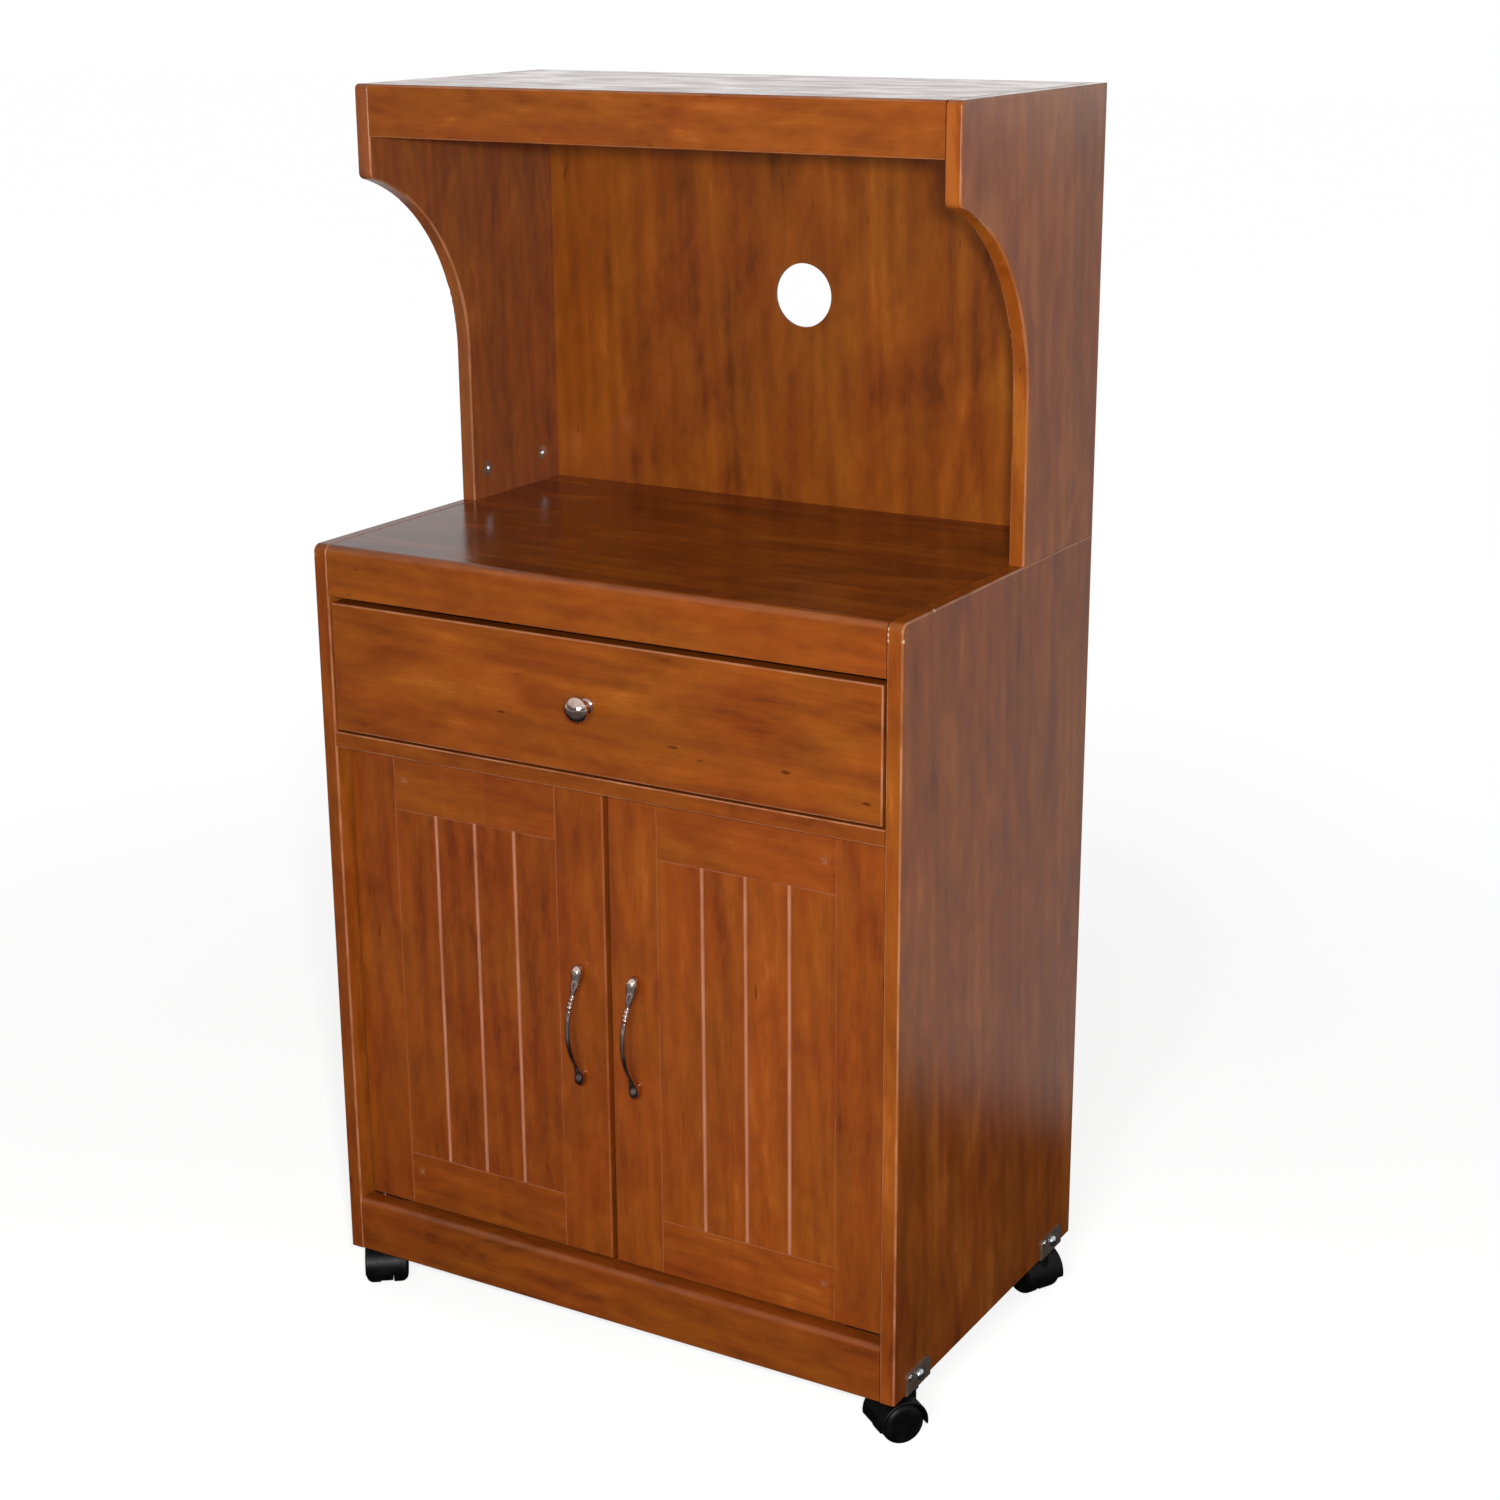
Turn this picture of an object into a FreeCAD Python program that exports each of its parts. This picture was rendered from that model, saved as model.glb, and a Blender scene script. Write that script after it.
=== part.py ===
"""Rolling microwave stand: a cupboard with two inset doors and a drawer, and an open hutch on top.

Millimetres. +X right, +Y to the back, +Z up. The origin is on the floor under the centre of the
whole stand's box, which runs from the knob's face to the back boards.
"""
import FreeCAD, Part
import math
import os

from FreeCAD import Vector

os.makedirs("parts", exist_ok=True)

# ------------------------------------------------------------------ carcass
CABINET_WIDTH = 600.0        # over the two side panels
CABINET_DEPTH = 376.0        # front edge of the sides to the back face of the back boards
LOWER_HEIGHT = 705.0         # lower side panels; the deck's top is level with them
HUTCH_HEIGHT = 400.0         # hutch sides, standing on the lower sides
BOARD = 15.0                 # laminated particle board
BACK_BOARD = 3.0             # hardboard backs
TOE_RAIL_HEIGHT = 54.0
APRON_HEIGHT = 47.0
VALANCE_HEIGHT = 46.0
LOOSE_SHELF_HEIGHT = 230.0   # underside of the loose shelf, above the sides' lower ends
LOOSE_SHELF_SETBACK = 40.0   # from the doors' backs
LOOSE_SHELF_GAP = 1.0        # at each side and at the back

EDGE_ROUND = 2.2             # soft-formed arrises of the sides
SIDE_CORNER_ROUND = 8.0      # top front corner of a lower side
HUTCH_CORNER_ROUND = 5.0     # top front corner of a hutch side
DECK_ROUND = 8.0             # folded front edge of the deck
HUTCH_TOP_ROUND = 3.0        # folded front edge of the hutch top
TOE_ROUND = 6.0
RAIL_ROUND = 1.5

# ------------------------------------------------------------------ hutch sides
HUTCH_TOP_DEPTH = 285.0      # from the back face
HUTCH_FOOT_DEPTH = 148.0     # from the back face
HUTCH_ARC_RADIUS = 177.5     # concave sweep of the front edge
HUTCH_ARC_RISE = 145.0       # where the sweep leaves the upright foot, above the deck
HUTCH_NOSE_ROUND = 6.0
CORD_HOLE_RADIUS = 30.0
CORD_HOLE_HEIGHT = 199.0     # above the deck

# ------------------------------------------------------------------ drawer
DRAWER_FRONT_HEIGHT = 120.5
DRAWER_BOTTOM_GAP = 2.0
DRAWER_TOP_GAP = 5.5
DRAWER_SIDE_GAP = 2.5        # front to the cabinet sides
DRAWER_BOX_GAP = 3.0         # drawer sides to the cabinet sides
DRAWER_BACK_GAP = 38.0       # drawer back to the cabinet's back board
DRAWER_BOARD = 12.0
DRAWER_BASE_BOARD = 3.0
DRAWER_SIDE_LIFT = 10.0      # sides' lower edge above the front's lower edge
DRAWER_SIDE_DROP = 20.0      # sides' upper edge below the front's upper edge
DRAWER_BASE_LIFT = 9.0       # groove above the sides' lower edge
GROOVE_DEPTH = 5.0
FRONT_ROUND = 2.0            # arrises of the drawer front

RUNNER_LENGTH = 300.0
RUNNER_SETBACK = 3.0         # behind the drawer front's back
RUNNER_THICKNESS = 8.0
RUNNER_HEIGHT = 12.0
RUNNER_SIDE_CLEARANCE = 0.5  # runner to the bottom of the groove
RUNNER_SEAT_CLEARANCE = 0.3  # under the groove's upper edge, where the drawer rests
RUNNER_PLAY = 1.2            # over the groove's lower edge
RUNNER_SCREW_SINK = 4.0      # the heads' seats, below the runner's face
RUNNER_SCREW_FROM_END = 30.0

# ------------------------------------------------------------------ knob
KNOB_REACH = 25.0
KNOB_HEAD_RADIUS = 11.8
KNOB_HEAD_START = 16.0       # where the flare ends, from the drawer front
KNOB_NECK_RADIUS = 4.5
KNOB_BASE_RADIUS = 7.0
KNOB_BASE_THICKNESS = 1.5
KNOB_NECK_END = 9.0
KNOB_RIM = 2.5
KNOB_SCREW_DEPTH = 9.0
KNOB_OFF_MIDDLE = -5.0       # drilled this far to the right of the drawer front's middle
KNOB_RISE = 2.5              # and this far above it

# ------------------------------------------------------------------ doors
DOOR_SETBACK = 16.0          # doors' faces behind the front edge of the sides
DOOR_END_GAP = 2.0           # above and below
DOOR_SIDE_GAP = 2.0          # hinge side
DOOR_MEETING_GAP = 5.0       # between the two doors
DOOR_HINGE_ROUND = 3.0       # hinge-side front arris, so that the door clears the side
DOOR_ROUND = 2.0
STILE_WIDTH = 51.0
RAIL_WIDTH = 54.0
BEAD_PITCH = 43.5
BEAD_RADIUS = 2.4
BEAD_DEPTH = 1.3
FRAME_LINE_DEPTH = 0.6

# ------------------------------------------------------------------ handles
HANDLE_INSET = 27.0          # from the door's free edge
HANDLE_RISE = 2.0            # handle's centre above the door's middle
HANDLE_HOLE_SPACING = 96.0
HANDLE_LENGTH = 119.0
HANDLE_BOW = 24.0            # bow's middle line, from the door's face
HANDLE_POST_RADIUS = 4.0
HANDLE_POST_HEIGHT = 6.0
HANDLE_BEAD_RADIUS = 3.0
HANDLE_BEAD_PITCH = 3.4
HANDLE_BEAD_HEIGHT = 27.0    # middle bead above the handle's centre
HANDLE_PAD = 5.4             # half width of the head and the foot
HANDLE_BAR = 2.3             # half width of the slim bow
HANDLE_TIP = 1.6             # half width at the two ends
HANDLE_TAPER = 11.0          # from a screw to where the head or foot narrows
HANDLE_END_REACH = 4.0       # middle of the two ends, from the door's face
HANDLE_PAD_GAP = 0.4         # head and foot to the door, beside their posts

# ------------------------------------------------------------------ pivot hinges and catch
PIVOT_INSET = 9.0            # from the door's hinge edge
PIVOT_PIN_RADIUS = 2.0
PIVOT_PIN_REACH = 3.5        # into the door
HINGE_PLATE = 1.5
HINGE_PLATE_WIDTH = 10.0
CABINET_LEAF_LENGTH = 42.0
CABINET_LEAF_INSET = 1.5     # from the side panel
DOOR_LEAF_LENGTH = 70.0
DOOR_LEAF_INSET = 3.0        # from the door's hinge edge
LEAF_TAB_WIDTH = 20.0
LEAF_TAB_HEIGHT = 38.0
LEAF_SCREW_DROPS = (18.0, 31.0)
CATCH_LENGTH = 84.0
CATCH_DEPTH = 15.0
CATCH_HEIGHT = 13.0
CATCH_GAP = 0.3              # magnet to strike plate
STRIKE_LENGTH = 30.0
STRIKE_INSET = 5.0           # from the door's free edge
STRIKE_HEIGHT = 11.0
STRIKE_DROP = 1.5            # below the door's upper edge
STRIKE_PLATE = 1.0

# ------------------------------------------------------------------ fasteners
CAM_RADIUS = 7.5
CAM_DEPTH = 12.0
CAM_SETBACK = 28.0           # from the joint to the cam's centre
CAM_BOLT_RADIUS = 3.0
CAM_BOLT_HOLD = 10.0         # into the panel that the bolt screws into
CAM_BOLT_HEAD_RADIUS = 3.8
CAM_BOLT_HEAD_LENGTH = 3.0
CAM_SLOT_RADIUS = 4.3
CAM_CROSS_WIDTH = 1.6
CAM_CROSS_DEPTH = 1.5
CAM_END_DISTANCE = 50.0      # board joints, from the front and back ends of the joint
HUTCH_CAM_BACK = 32.0        # rear cam of a hutch side, from the back face
HUTCH_CAM_FRONT = 23.0       # front cam of a hutch side, from the foot's front edge
DOWEL_RADIUS = 4.0
DOWEL_LENGTH = 24.0          # half in each piece
DOWEL_IN_PANEL = 10.0
NAIL_RADIUS = 0.8
NAIL_LENGTH = 16.0
NAIL_HEAD_RADIUS = 2.2
NAIL_HEAD_THICKNESS = 0.8
NAIL_PITCH = 105.0
NAIL_END_DISTANCE = 25.0
SCREW_HEAD_RADIUS = 4.0
SCREW_HEAD_HEIGHT = 2.4
SCREW_RADIUS = 2.0
SMALL_SCREW_RADIUS = 1.5
SMALL_SCREW_HEAD_RADIUS = 3.0
SMALL_SCREW_HEAD_HEIGHT = 1.2
SMALL_SCREW_LENGTH = 11.0
PIN_RADIUS = 2.5             # shelf pins
PIN_HOLD = 8.0
PIN_PADDLE = (8.0, 7.0, 6.0)
PIN_END_DISTANCE = 40.0      # from the loose shelf's front and back

# ------------------------------------------------------------------ casters
CASTER_END_DISTANCE = 45.0   # bracket's middle, from the front edge and from the back face
BRACKET_STEEL = 2.0
BRACKET_LENGTH = 44.0
BRACKET_UPSTAND = 19.0
BRACKET_FOOT = 32.0
BRACKET_BOLT_HEIGHT = 10.0
BRACKET_BOLT_HEAD_RADIUS = 5.2
BRACKET_BOLT_HEAD_HEIGHT = 4.0
BRACKET_BOLT_RADIUS = 2.5
BRACKET_BOLT_LENGTH = 12.0
BRACKET_SCREW_FROM_END = 4.5
BRACKET_SCREW_HEIGHT = 15.0
STEM_RADIUS = 3.5
STEM_COLLAR_RADIUS = 8.0
STEM_COLLAR = 3.0
RIVET_RADIUS = 6.0           # stem's upper end, spread over the bracket's foot
RIVET_HEIGHT = 1.5
RIVET_POCKET_GAP = 0.5       # around it, in the side's lower edge
STEM_HEAD_LENGTH = 19.0      # inside the hood's boss
BOSS_RADIUS = 6.0
BOSS_RISE = 1.0              # hood's boss above its roof
BOSS_CLEARANCE = 0.7         # boss to the wheels beside it
HOOD_GAP = 1.0               # collar to boss
WHEEL_RADIUS = 20.0
WHEEL_WIDTH = 14.0
WHEEL_ROUND = 7.0
TYRE_THICKNESS = 4.5         # tread to the wheel's hollow
WHEEL_WALL = 3.5             # outer disc of a wheel
WHEEL_HUB_RADIUS = 5.5
WHEEL_HUB_CLEARANCE = 0.4    # hub to web
CASTER_TRAIL = 14.0
STUB_RADIUS = 3.0            # moulded axle stubs on the web
STUB_COVER = 1.6             # wheel left outside a stub's end
STUB_END_CLEARANCE = 0.4
HOOD_CLEARANCE = 1.2
HOOD_THICKNESS = 1.8
HOOD_ROUND = 1.5
WEB_THICKNESS = 12.0         # as thick as the boss
WEB_DROP = 12.0              # web below the axle
HOOD_SKIRT = 3.0             # hood's edges below the axle
# Which way each caster trails, turned about its stem from straight forward (degrees).
CASTER_TURNS = {"front_left": 36.0, "front_right": -36.0, "rear_left": 75.0, "rear_right": -117.0}

RUNNING_CLEARANCE = 0.08     # radial, of pins and axles in their holes

# ------------------------------------------------------------------ places worked out from the sizes
WHEEL_SPACING = 2 * (BOSS_RADIUS + BOSS_CLEARANCE)
Z_HOOD = 2 * WHEEL_RADIUS + HOOD_CLEARANCE + HOOD_THICKNESS
Z_BOSS = Z_HOOD + BOSS_RISE
Z_COLLAR = Z_BOSS + HOOD_GAP
Z_BASE = Z_COLLAR + STEM_COLLAR + BRACKET_STEEL
Z_DECK = Z_BASE + LOWER_HEIGHT
Z_TOP = Z_DECK + HUTCH_HEIGHT
Y_BACK = (CABINET_DEPTH + KNOB_REACH) / 2
Y_FRONT = Y_BACK - CABINET_DEPTH
Y_BOARD_BACK = Y_BACK - BACK_BOARD
X_OUT = CABINET_WIDTH / 2
X_IN = X_OUT - BOARD
Y_HUTCH_FRONT = Y_BACK - HUTCH_TOP_DEPTH
Y_HUTCH_FOOT = Y_BACK - HUTCH_FOOT_DEPTH
Z_TOE_TOP = Z_BASE + TOE_RAIL_HEIGHT
Z_APRON = Z_DECK - APRON_HEIGHT
Z_DRAWER_TOP = Z_APRON - DRAWER_TOP_GAP
Z_DRAWER = Z_DRAWER_TOP - DRAWER_FRONT_HEIGHT
Z_SHELF_TOP = Z_DRAWER - DRAWER_BOTTOM_GAP
Z_SHELF = Z_SHELF_TOP - BOARD
Z_LOOSE = Z_BASE + LOOSE_SHELF_HEIGHT

X_DRAWER_FRONT = X_IN - DRAWER_SIDE_GAP
X_DRAWER = X_IN - DRAWER_BOX_GAP
X_DRAWER_IN = X_DRAWER - DRAWER_BOARD
Y_DRAWER = Y_FRONT + BOARD
Y_DRAWER_BACK = Y_BOARD_BACK - DRAWER_BACK_GAP
Z_DRAWER_SIDE = Z_DRAWER + DRAWER_SIDE_LIFT
Z_DRAWER_SIDE_TOP = Z_DRAWER_TOP - DRAWER_SIDE_DROP
Z_DRAWER_BASE = Z_DRAWER_SIDE + DRAWER_BASE_LIFT
Z_KNOB = (Z_DRAWER + Z_DRAWER_TOP) / 2 + KNOB_RISE
Z_RUNNER = (Z_DRAWER_SIDE + Z_DRAWER_SIDE_TOP - RUNNER_HEIGHT) / 2
Y_RUNNER = Y_DRAWER + RUNNER_SETBACK
X_RUNNER = X_IN - RUNNER_THICKNESS

Y_DOOR = Y_FRONT + DOOR_SETBACK
Y_DOOR_BACK = Y_DOOR + BOARD
Z_DOOR = Z_TOE_TOP + DOOR_END_GAP
Z_DOOR_TOP = Z_SHELF - DOOR_END_GAP
X_DOOR_HINGE = X_IN - DOOR_SIDE_GAP
X_DOOR_FREE = DOOR_MEETING_GAP / 2
X_PIVOT = X_DOOR_HINGE - PIVOT_INSET
Y_PIVOT = Y_DOOR + BOARD / 2
X_HANDLE = X_DOOR_FREE + HANDLE_INSET
Z_HANDLE = (Z_DOOR + Z_DOOR_TOP) / 2 + HANDLE_RISE

X_STEM = X_OUT - BOARD / 2
Z_AXLE = WHEEL_RADIUS


# ------------------------------------------------------------------ small helpers
def box(x0, x1, y0, y1, z0, z1):
    """A block between two corners, given in any order."""
    low = Vector(min(x0, x1), min(y0, y1), min(z0, z1))
    return Part.makeBox(abs(x1 - x0), abs(y1 - y0), abs(z1 - z0), low)


def rod(start, end, radius):
    """A round bar from one point to another."""
    run = Vector(*end) - Vector(*start)
    return Part.makeCylinder(radius, run.Length, Vector(*start), run)


def mirrored(shape):
    """The same shape on the other side of the stand's middle plane."""
    return shape.mirror(Vector(0, 0, 0), Vector(1, 0, 0))


def export(name, *solids):
    """Write one node: a single solid, or a group of separate solids."""
    shape = solids[0] if len(solids) == 1 else Part.makeCompound(list(solids))
    shape.exportStep("parts/" + name + ".step")


def corner_arc(before, corner, after, radius):
    """Start, middle and end of the arc that rounds one corner of an outline."""
    to_before = (before - corner).normalize()
    to_after = (after - corner).normalize()
    half_angle = to_before.getAngle(to_after) / 2
    reach = radius / math.tan(half_angle)
    centre = corner + (to_before + to_after).normalize() * (radius / math.sin(half_angle))
    middle = centre + (corner - centre).normalize() * radius
    return corner + to_before * reach, middle, corner + to_after * reach


def slab(x0, x1, points):
    """A board whose outline is drawn in Y and Z, each corner with its own rounding, from x0 to x1."""
    corners = [Vector(x0, y, z) for y, z, _ in points]
    arcs = []
    for i, (_, _, radius) in enumerate(points):
        if radius:
            arcs.append(corner_arc(corners[i - 1], corners[i], corners[(i + 1) % len(points)], radius))
        else:
            arcs.append((corners[i], None, corners[i]))
    edges = []
    for i, (start, middle, end) in enumerate(arcs):
        if middle:
            edges.append(Part.Arc(start, middle, end).toShape())
        edges.append(Part.LineSegment(end, arcs[(i + 1) % len(arcs)][0]).toShape())
    return Part.Face(Part.Wire(edges)).extrude(Vector(x1 - x0, 0, 0))


def soften(shape, radius, wanted):
    """Round the edges whose middle point passes the test."""
    return shape.makeFillet(radius, [edge for edge in shape.Edges if wanted(edge.CenterOfMass)])


def near(a, b):
    return abs(a - b) < 0.01


def screw(head_centre, direction, shank_radius, length, head_radius, head_height):
    """A pan-head screw: the head stands on the surface at head_centre, the shank runs along direction."""
    along = Vector(*direction).normalize()
    seat = Vector(*head_centre)
    shank = Part.makeCylinder(shank_radius, length, seat, along)
    head = Part.makeCylinder(head_radius, head_height, seat, along * -1)
    rim = [edge for edge in head.Edges if near(edge.CenterOfMass.distanceToPoint(seat), head_height)]
    return shank.fuse(head.makeFillet(head_height * 0.6, rim)).removeSplitter()


# ------------------------------------------------------------------ knock-down fittings
def cam_lock(joint, into_board, cam_out):
    """A cam and its bolt. joint is the bolt's point on the joint plane, into_board the way to the
    cam, and cam_out the way that the cam's face looks out of the board."""
    start = Vector(*joint)
    along = Vector(*into_board)
    out = Vector(*cam_out)
    centre = start + along * CAM_SETBACK
    face = centre + out * (BOARD / 2)
    cam = Part.makeCylinder(CAM_RADIUS, CAM_DEPTH, face, out * -1)
    cam = cam.cut(Part.makeCylinder(CAM_SLOT_RADIUS, CAM_RADIUS + CAM_SLOT_RADIUS,
                                    centre - along * CAM_RADIUS, along))
    across = along.cross(out)
    for way in (along, across):
        side = way.cross(out)
        corner = face - way * CAM_BOLT_RADIUS - side * (CAM_CROSS_WIDTH / 2) - out * CAM_CROSS_DEPTH
        points = [corner, corner + way * (2 * CAM_BOLT_RADIUS)]
        points.append(points[1] + side * CAM_CROSS_WIDTH)
        points.append(corner + side * CAM_CROSS_WIDTH)
        slot = Part.Face(Part.makePolygon(points + [corner])).extrude(out * CAM_CROSS_DEPTH)
        cam = cam.cut(slot)
    bolt = Part.makeCylinder(CAM_BOLT_RADIUS, CAM_BOLT_HOLD + CAM_SETBACK,
                             start - along * CAM_BOLT_HOLD, along)
    head = Part.makeCylinder(CAM_BOLT_HEAD_RADIUS, CAM_BOLT_HEAD_LENGTH,
                             centre - along * CAM_BOLT_HEAD_LENGTH, along)
    pocket = Part.makeCylinder(CAM_RADIUS, CAM_DEPTH, face, out * -1)
    return cam, bolt.fuse(head), pocket


def board_cams(z_middle, y_start, y_end, look):
    """The four cam locks that hold a level board between the sides. look is -1 for cams under it."""
    cams = []
    for sign in (-1, 1):
        for y in (y_start + CAM_END_DISTANCE, y_end - CAM_END_DISTANCE):
            cams.append(cam_lock((sign * X_IN, y, z_middle), (-sign, 0, 0), (0, 0, look)))
    return cams


def hutch_cams():
    """The four cam locks in the feet of the hutch sides, with bolts down into the lower sides."""
    cams = []
    for sign in (-1, 1):
        for y in (Y_HUTCH_FOOT + HUTCH_CAM_FRONT, Y_BACK - HUTCH_CAM_BACK):
            joint = (sign * (X_IN + BOARD / 2), y, Z_DECK)
            cams.append(cam_lock(joint, (0, 0, 1), (-sign, 0, 0)))
    return cams


def end_dowels(y, z):
    """A dowel in each end of a rail."""
    return [rod((sign * (X_IN + DOWEL_IN_PANEL), y, z),
                (sign * (X_IN + DOWEL_IN_PANEL - DOWEL_LENGTH), y, z), DOWEL_RADIUS) for sign in (-1, 1)]


def back_nails(z_low, z_high, z_cross):
    """Nails through a back board into the sides, and into one level board at z_cross."""
    spots = []
    rows = int((z_high - z_low - 2 * NAIL_END_DISTANCE) // NAIL_PITCH)
    pitch = (z_high - z_low - 2 * NAIL_END_DISTANCE) / rows
    for row in range(rows + 1):
        for sign in (-1, 1):
            spots.append((sign * (X_IN + BOARD / 2), z_low + NAIL_END_DISTANCE + row * pitch))
    columns = int(X_IN // NAIL_PITCH)
    spots += [(column * NAIL_PITCH, z_cross) for column in range(-columns, columns + 1)]
    nails = []
    for x, z in spots:
        shank = rod((x, Y_BACK, z), (x, Y_BACK - NAIL_LENGTH, z), NAIL_RADIUS)
        head = rod((x, Y_BACK, z), (x, Y_BACK - NAIL_HEAD_THICKNESS, z), NAIL_HEAD_RADIUS)
        nails.append(shank.fuse(head))
    return nails


# ------------------------------------------------------------------ carcass boards
def lower_side(sign):
    panel = slab(sign * X_IN, sign * X_OUT, [
        (Y_FRONT, Z_BASE, 0), (Y_FRONT, Z_DECK, SIDE_CORNER_ROUND),
        (Y_BOARD_BACK, Z_DECK, 0), (Y_BOARD_BACK, Z_BASE, 0)])
    panel = soften(panel, EDGE_ROUND, lambda p: near(p.y, Y_FRONT) and not near(p.z, Z_BASE)
                   and (near(abs(p.x), X_IN) or near(abs(p.x), X_OUT)))
    for y in (Y_FRONT + CASTER_END_DISTANCE, Y_BACK - CASTER_END_DISTANCE):
        panel = panel.cut(rod((sign * X_STEM, y, Z_BASE),
                              (sign * X_STEM, y, Z_BASE + RIVET_HEIGHT + RIVET_POCKET_GAP),
                              RIVET_RADIUS + RIVET_POCKET_GAP))
    return panel


def hutch_side(sign):
    """Straight brow, small nose, concave sweep and upright foot."""
    x0 = sign * X_IN
    sweep_y = Y_HUTCH_FOOT - HUTCH_ARC_RADIUS
    sweep_z = Z_DECK + HUTCH_ARC_RISE
    nose_y = Y_HUTCH_FRONT + HUTCH_NOSE_ROUND
    both = HUTCH_ARC_RADIUS + HUTCH_NOSE_ROUND
    nose_z = sweep_z + math.sqrt(both ** 2 - (nose_y - sweep_y) ** 2)
    meet_angle = math.atan2(nose_z - sweep_z, nose_y - sweep_y)

    def on_sweep(angle):
        return Vector(x0, sweep_y + HUTCH_ARC_RADIUS * math.cos(angle),
                      sweep_z + HUTCH_ARC_RADIUS * math.sin(angle))

    def on_nose(angle):
        return Vector(x0, nose_y + HUTCH_NOSE_ROUND * math.cos(angle),
                      nose_z + HUTCH_NOSE_ROUND * math.sin(angle))

    def on_corner(angle):
        return Vector(x0, Y_HUTCH_FRONT + HUTCH_CORNER_ROUND * (1 + math.cos(angle)),
                      Z_TOP - HUTCH_CORNER_ROUND * (1 - math.sin(angle)))

    nose_end = meet_angle - math.pi
    foot_front = Vector(x0, Y_HUTCH_FOOT, Z_DECK)
    foot_back = Vector(x0, Y_BOARD_BACK, Z_DECK)
    top_back = Vector(x0, Y_BOARD_BACK, Z_TOP)
    edges = [
        Part.LineSegment(foot_back, foot_front).toShape(),
        Part.LineSegment(foot_front, on_sweep(0)).toShape(),
        Part.Arc(on_sweep(0), on_sweep(meet_angle / 2), on_sweep(meet_angle)).toShape(),
        Part.Arc(on_nose(nose_end), on_nose((nose_end - math.pi) / 2), on_nose(-math.pi)).toShape(),
        Part.LineSegment(on_nose(-math.pi), on_corner(math.pi)).toShape(),
        Part.Arc(on_corner(math.pi), on_corner(0.75 * math.pi), on_corner(0.5 * math.pi)).toShape(),
        Part.LineSegment(on_corner(0.5 * math.pi), top_back).toShape(),
        Part.LineSegment(top_back, foot_back).toShape()]
    panel = Part.Face(Part.Wire(edges)).extrude(Vector(sign * BOARD, 0, 0))
    return soften(panel, EDGE_ROUND, lambda p: p.y < Y_HUTCH_FOOT + 0.01 and p.z < Z_TOP - 0.01
                  and (near(abs(p.x), X_IN) or near(abs(p.x), X_OUT)))


def folded_board(y_front, z_top, rail_height, fold_round):
    """A level board and its front rail, folded from one sheet: two pieces mitred at the round edge."""
    folded = slab(-X_IN, X_IN, [
        (y_front, z_top - rail_height, RAIL_ROUND), (y_front, z_top, fold_round),
        (Y_BOARD_BACK, z_top, 0), (Y_BOARD_BACK, z_top - BOARD, 0),
        (y_front + BOARD, z_top - BOARD, 0), (y_front + BOARD, z_top - rail_height, 0)])
    inner = (y_front + BOARD, z_top - BOARD, 0)
    outer = (y_front - BOARD, z_top + BOARD, 0)
    below = slab(-X_OUT, X_OUT, [
        outer, inner, (y_front + BOARD, z_top - rail_height - BOARD, 0),
        (y_front - BOARD, z_top - rail_height - BOARD, 0)])
    return folded.cut(below), folded.common(below)


def toe_rail():
    return slab(-X_IN, X_IN, [
        (Y_FRONT, Z_BASE, RAIL_ROUND), (Y_FRONT, Z_TOE_TOP, TOE_ROUND),
        (Y_FRONT + BOARD, Z_TOE_TOP, 0), (Y_FRONT + BOARD, Z_BASE, 0)])


def bottom_panel():
    return box(-X_IN, X_IN, Y_FRONT + BOARD, Y_BOARD_BACK, Z_TOE_TOP - BOARD, Z_TOE_TOP)


def fixed_shelf():
    return slab(-X_IN, X_IN, [
        (Y_FRONT, Z_SHELF, RAIL_ROUND), (Y_FRONT, Z_SHELF_TOP, RAIL_ROUND),
        (Y_BOARD_BACK, Z_SHELF_TOP, 0), (Y_BOARD_BACK, Z_SHELF, 0)])


def loose_shelf():
    x = X_IN - LOOSE_SHELF_GAP
    return slab(-x, x, [
        (Y_DOOR_BACK + LOOSE_SHELF_SETBACK, Z_LOOSE, RAIL_ROUND),
        (Y_DOOR_BACK + LOOSE_SHELF_SETBACK, Z_LOOSE + BOARD, RAIL_ROUND),
        (Y_BOARD_BACK - LOOSE_SHELF_GAP, Z_LOOSE + BOARD, 0),
        (Y_BOARD_BACK - LOOSE_SHELF_GAP, Z_LOOSE, 0)])


def shelf_pins():
    """Four pins: a peg in the side and a flat paddle under the loose shelf."""
    paddle_x, paddle_y, paddle_z = PIN_PADDLE
    pins = []
    for sign in (-1, 1):
        for y in (Y_DOOR_BACK + LOOSE_SHELF_SETBACK + PIN_END_DISTANCE, Y_BOARD_BACK - PIN_END_DISTANCE):
            peg = rod((sign * (X_IN + PIN_HOLD), y, Z_LOOSE - paddle_z / 2),
                      (sign * X_IN, y, Z_LOOSE - paddle_z / 2), PIN_RADIUS)
            paddle = box(sign * X_IN, sign * (X_IN - paddle_x), y - paddle_y / 2, y + paddle_y / 2,
                         Z_LOOSE - paddle_z, Z_LOOSE)
            pins.append(peg.fuse(paddle))
    return pins


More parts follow.
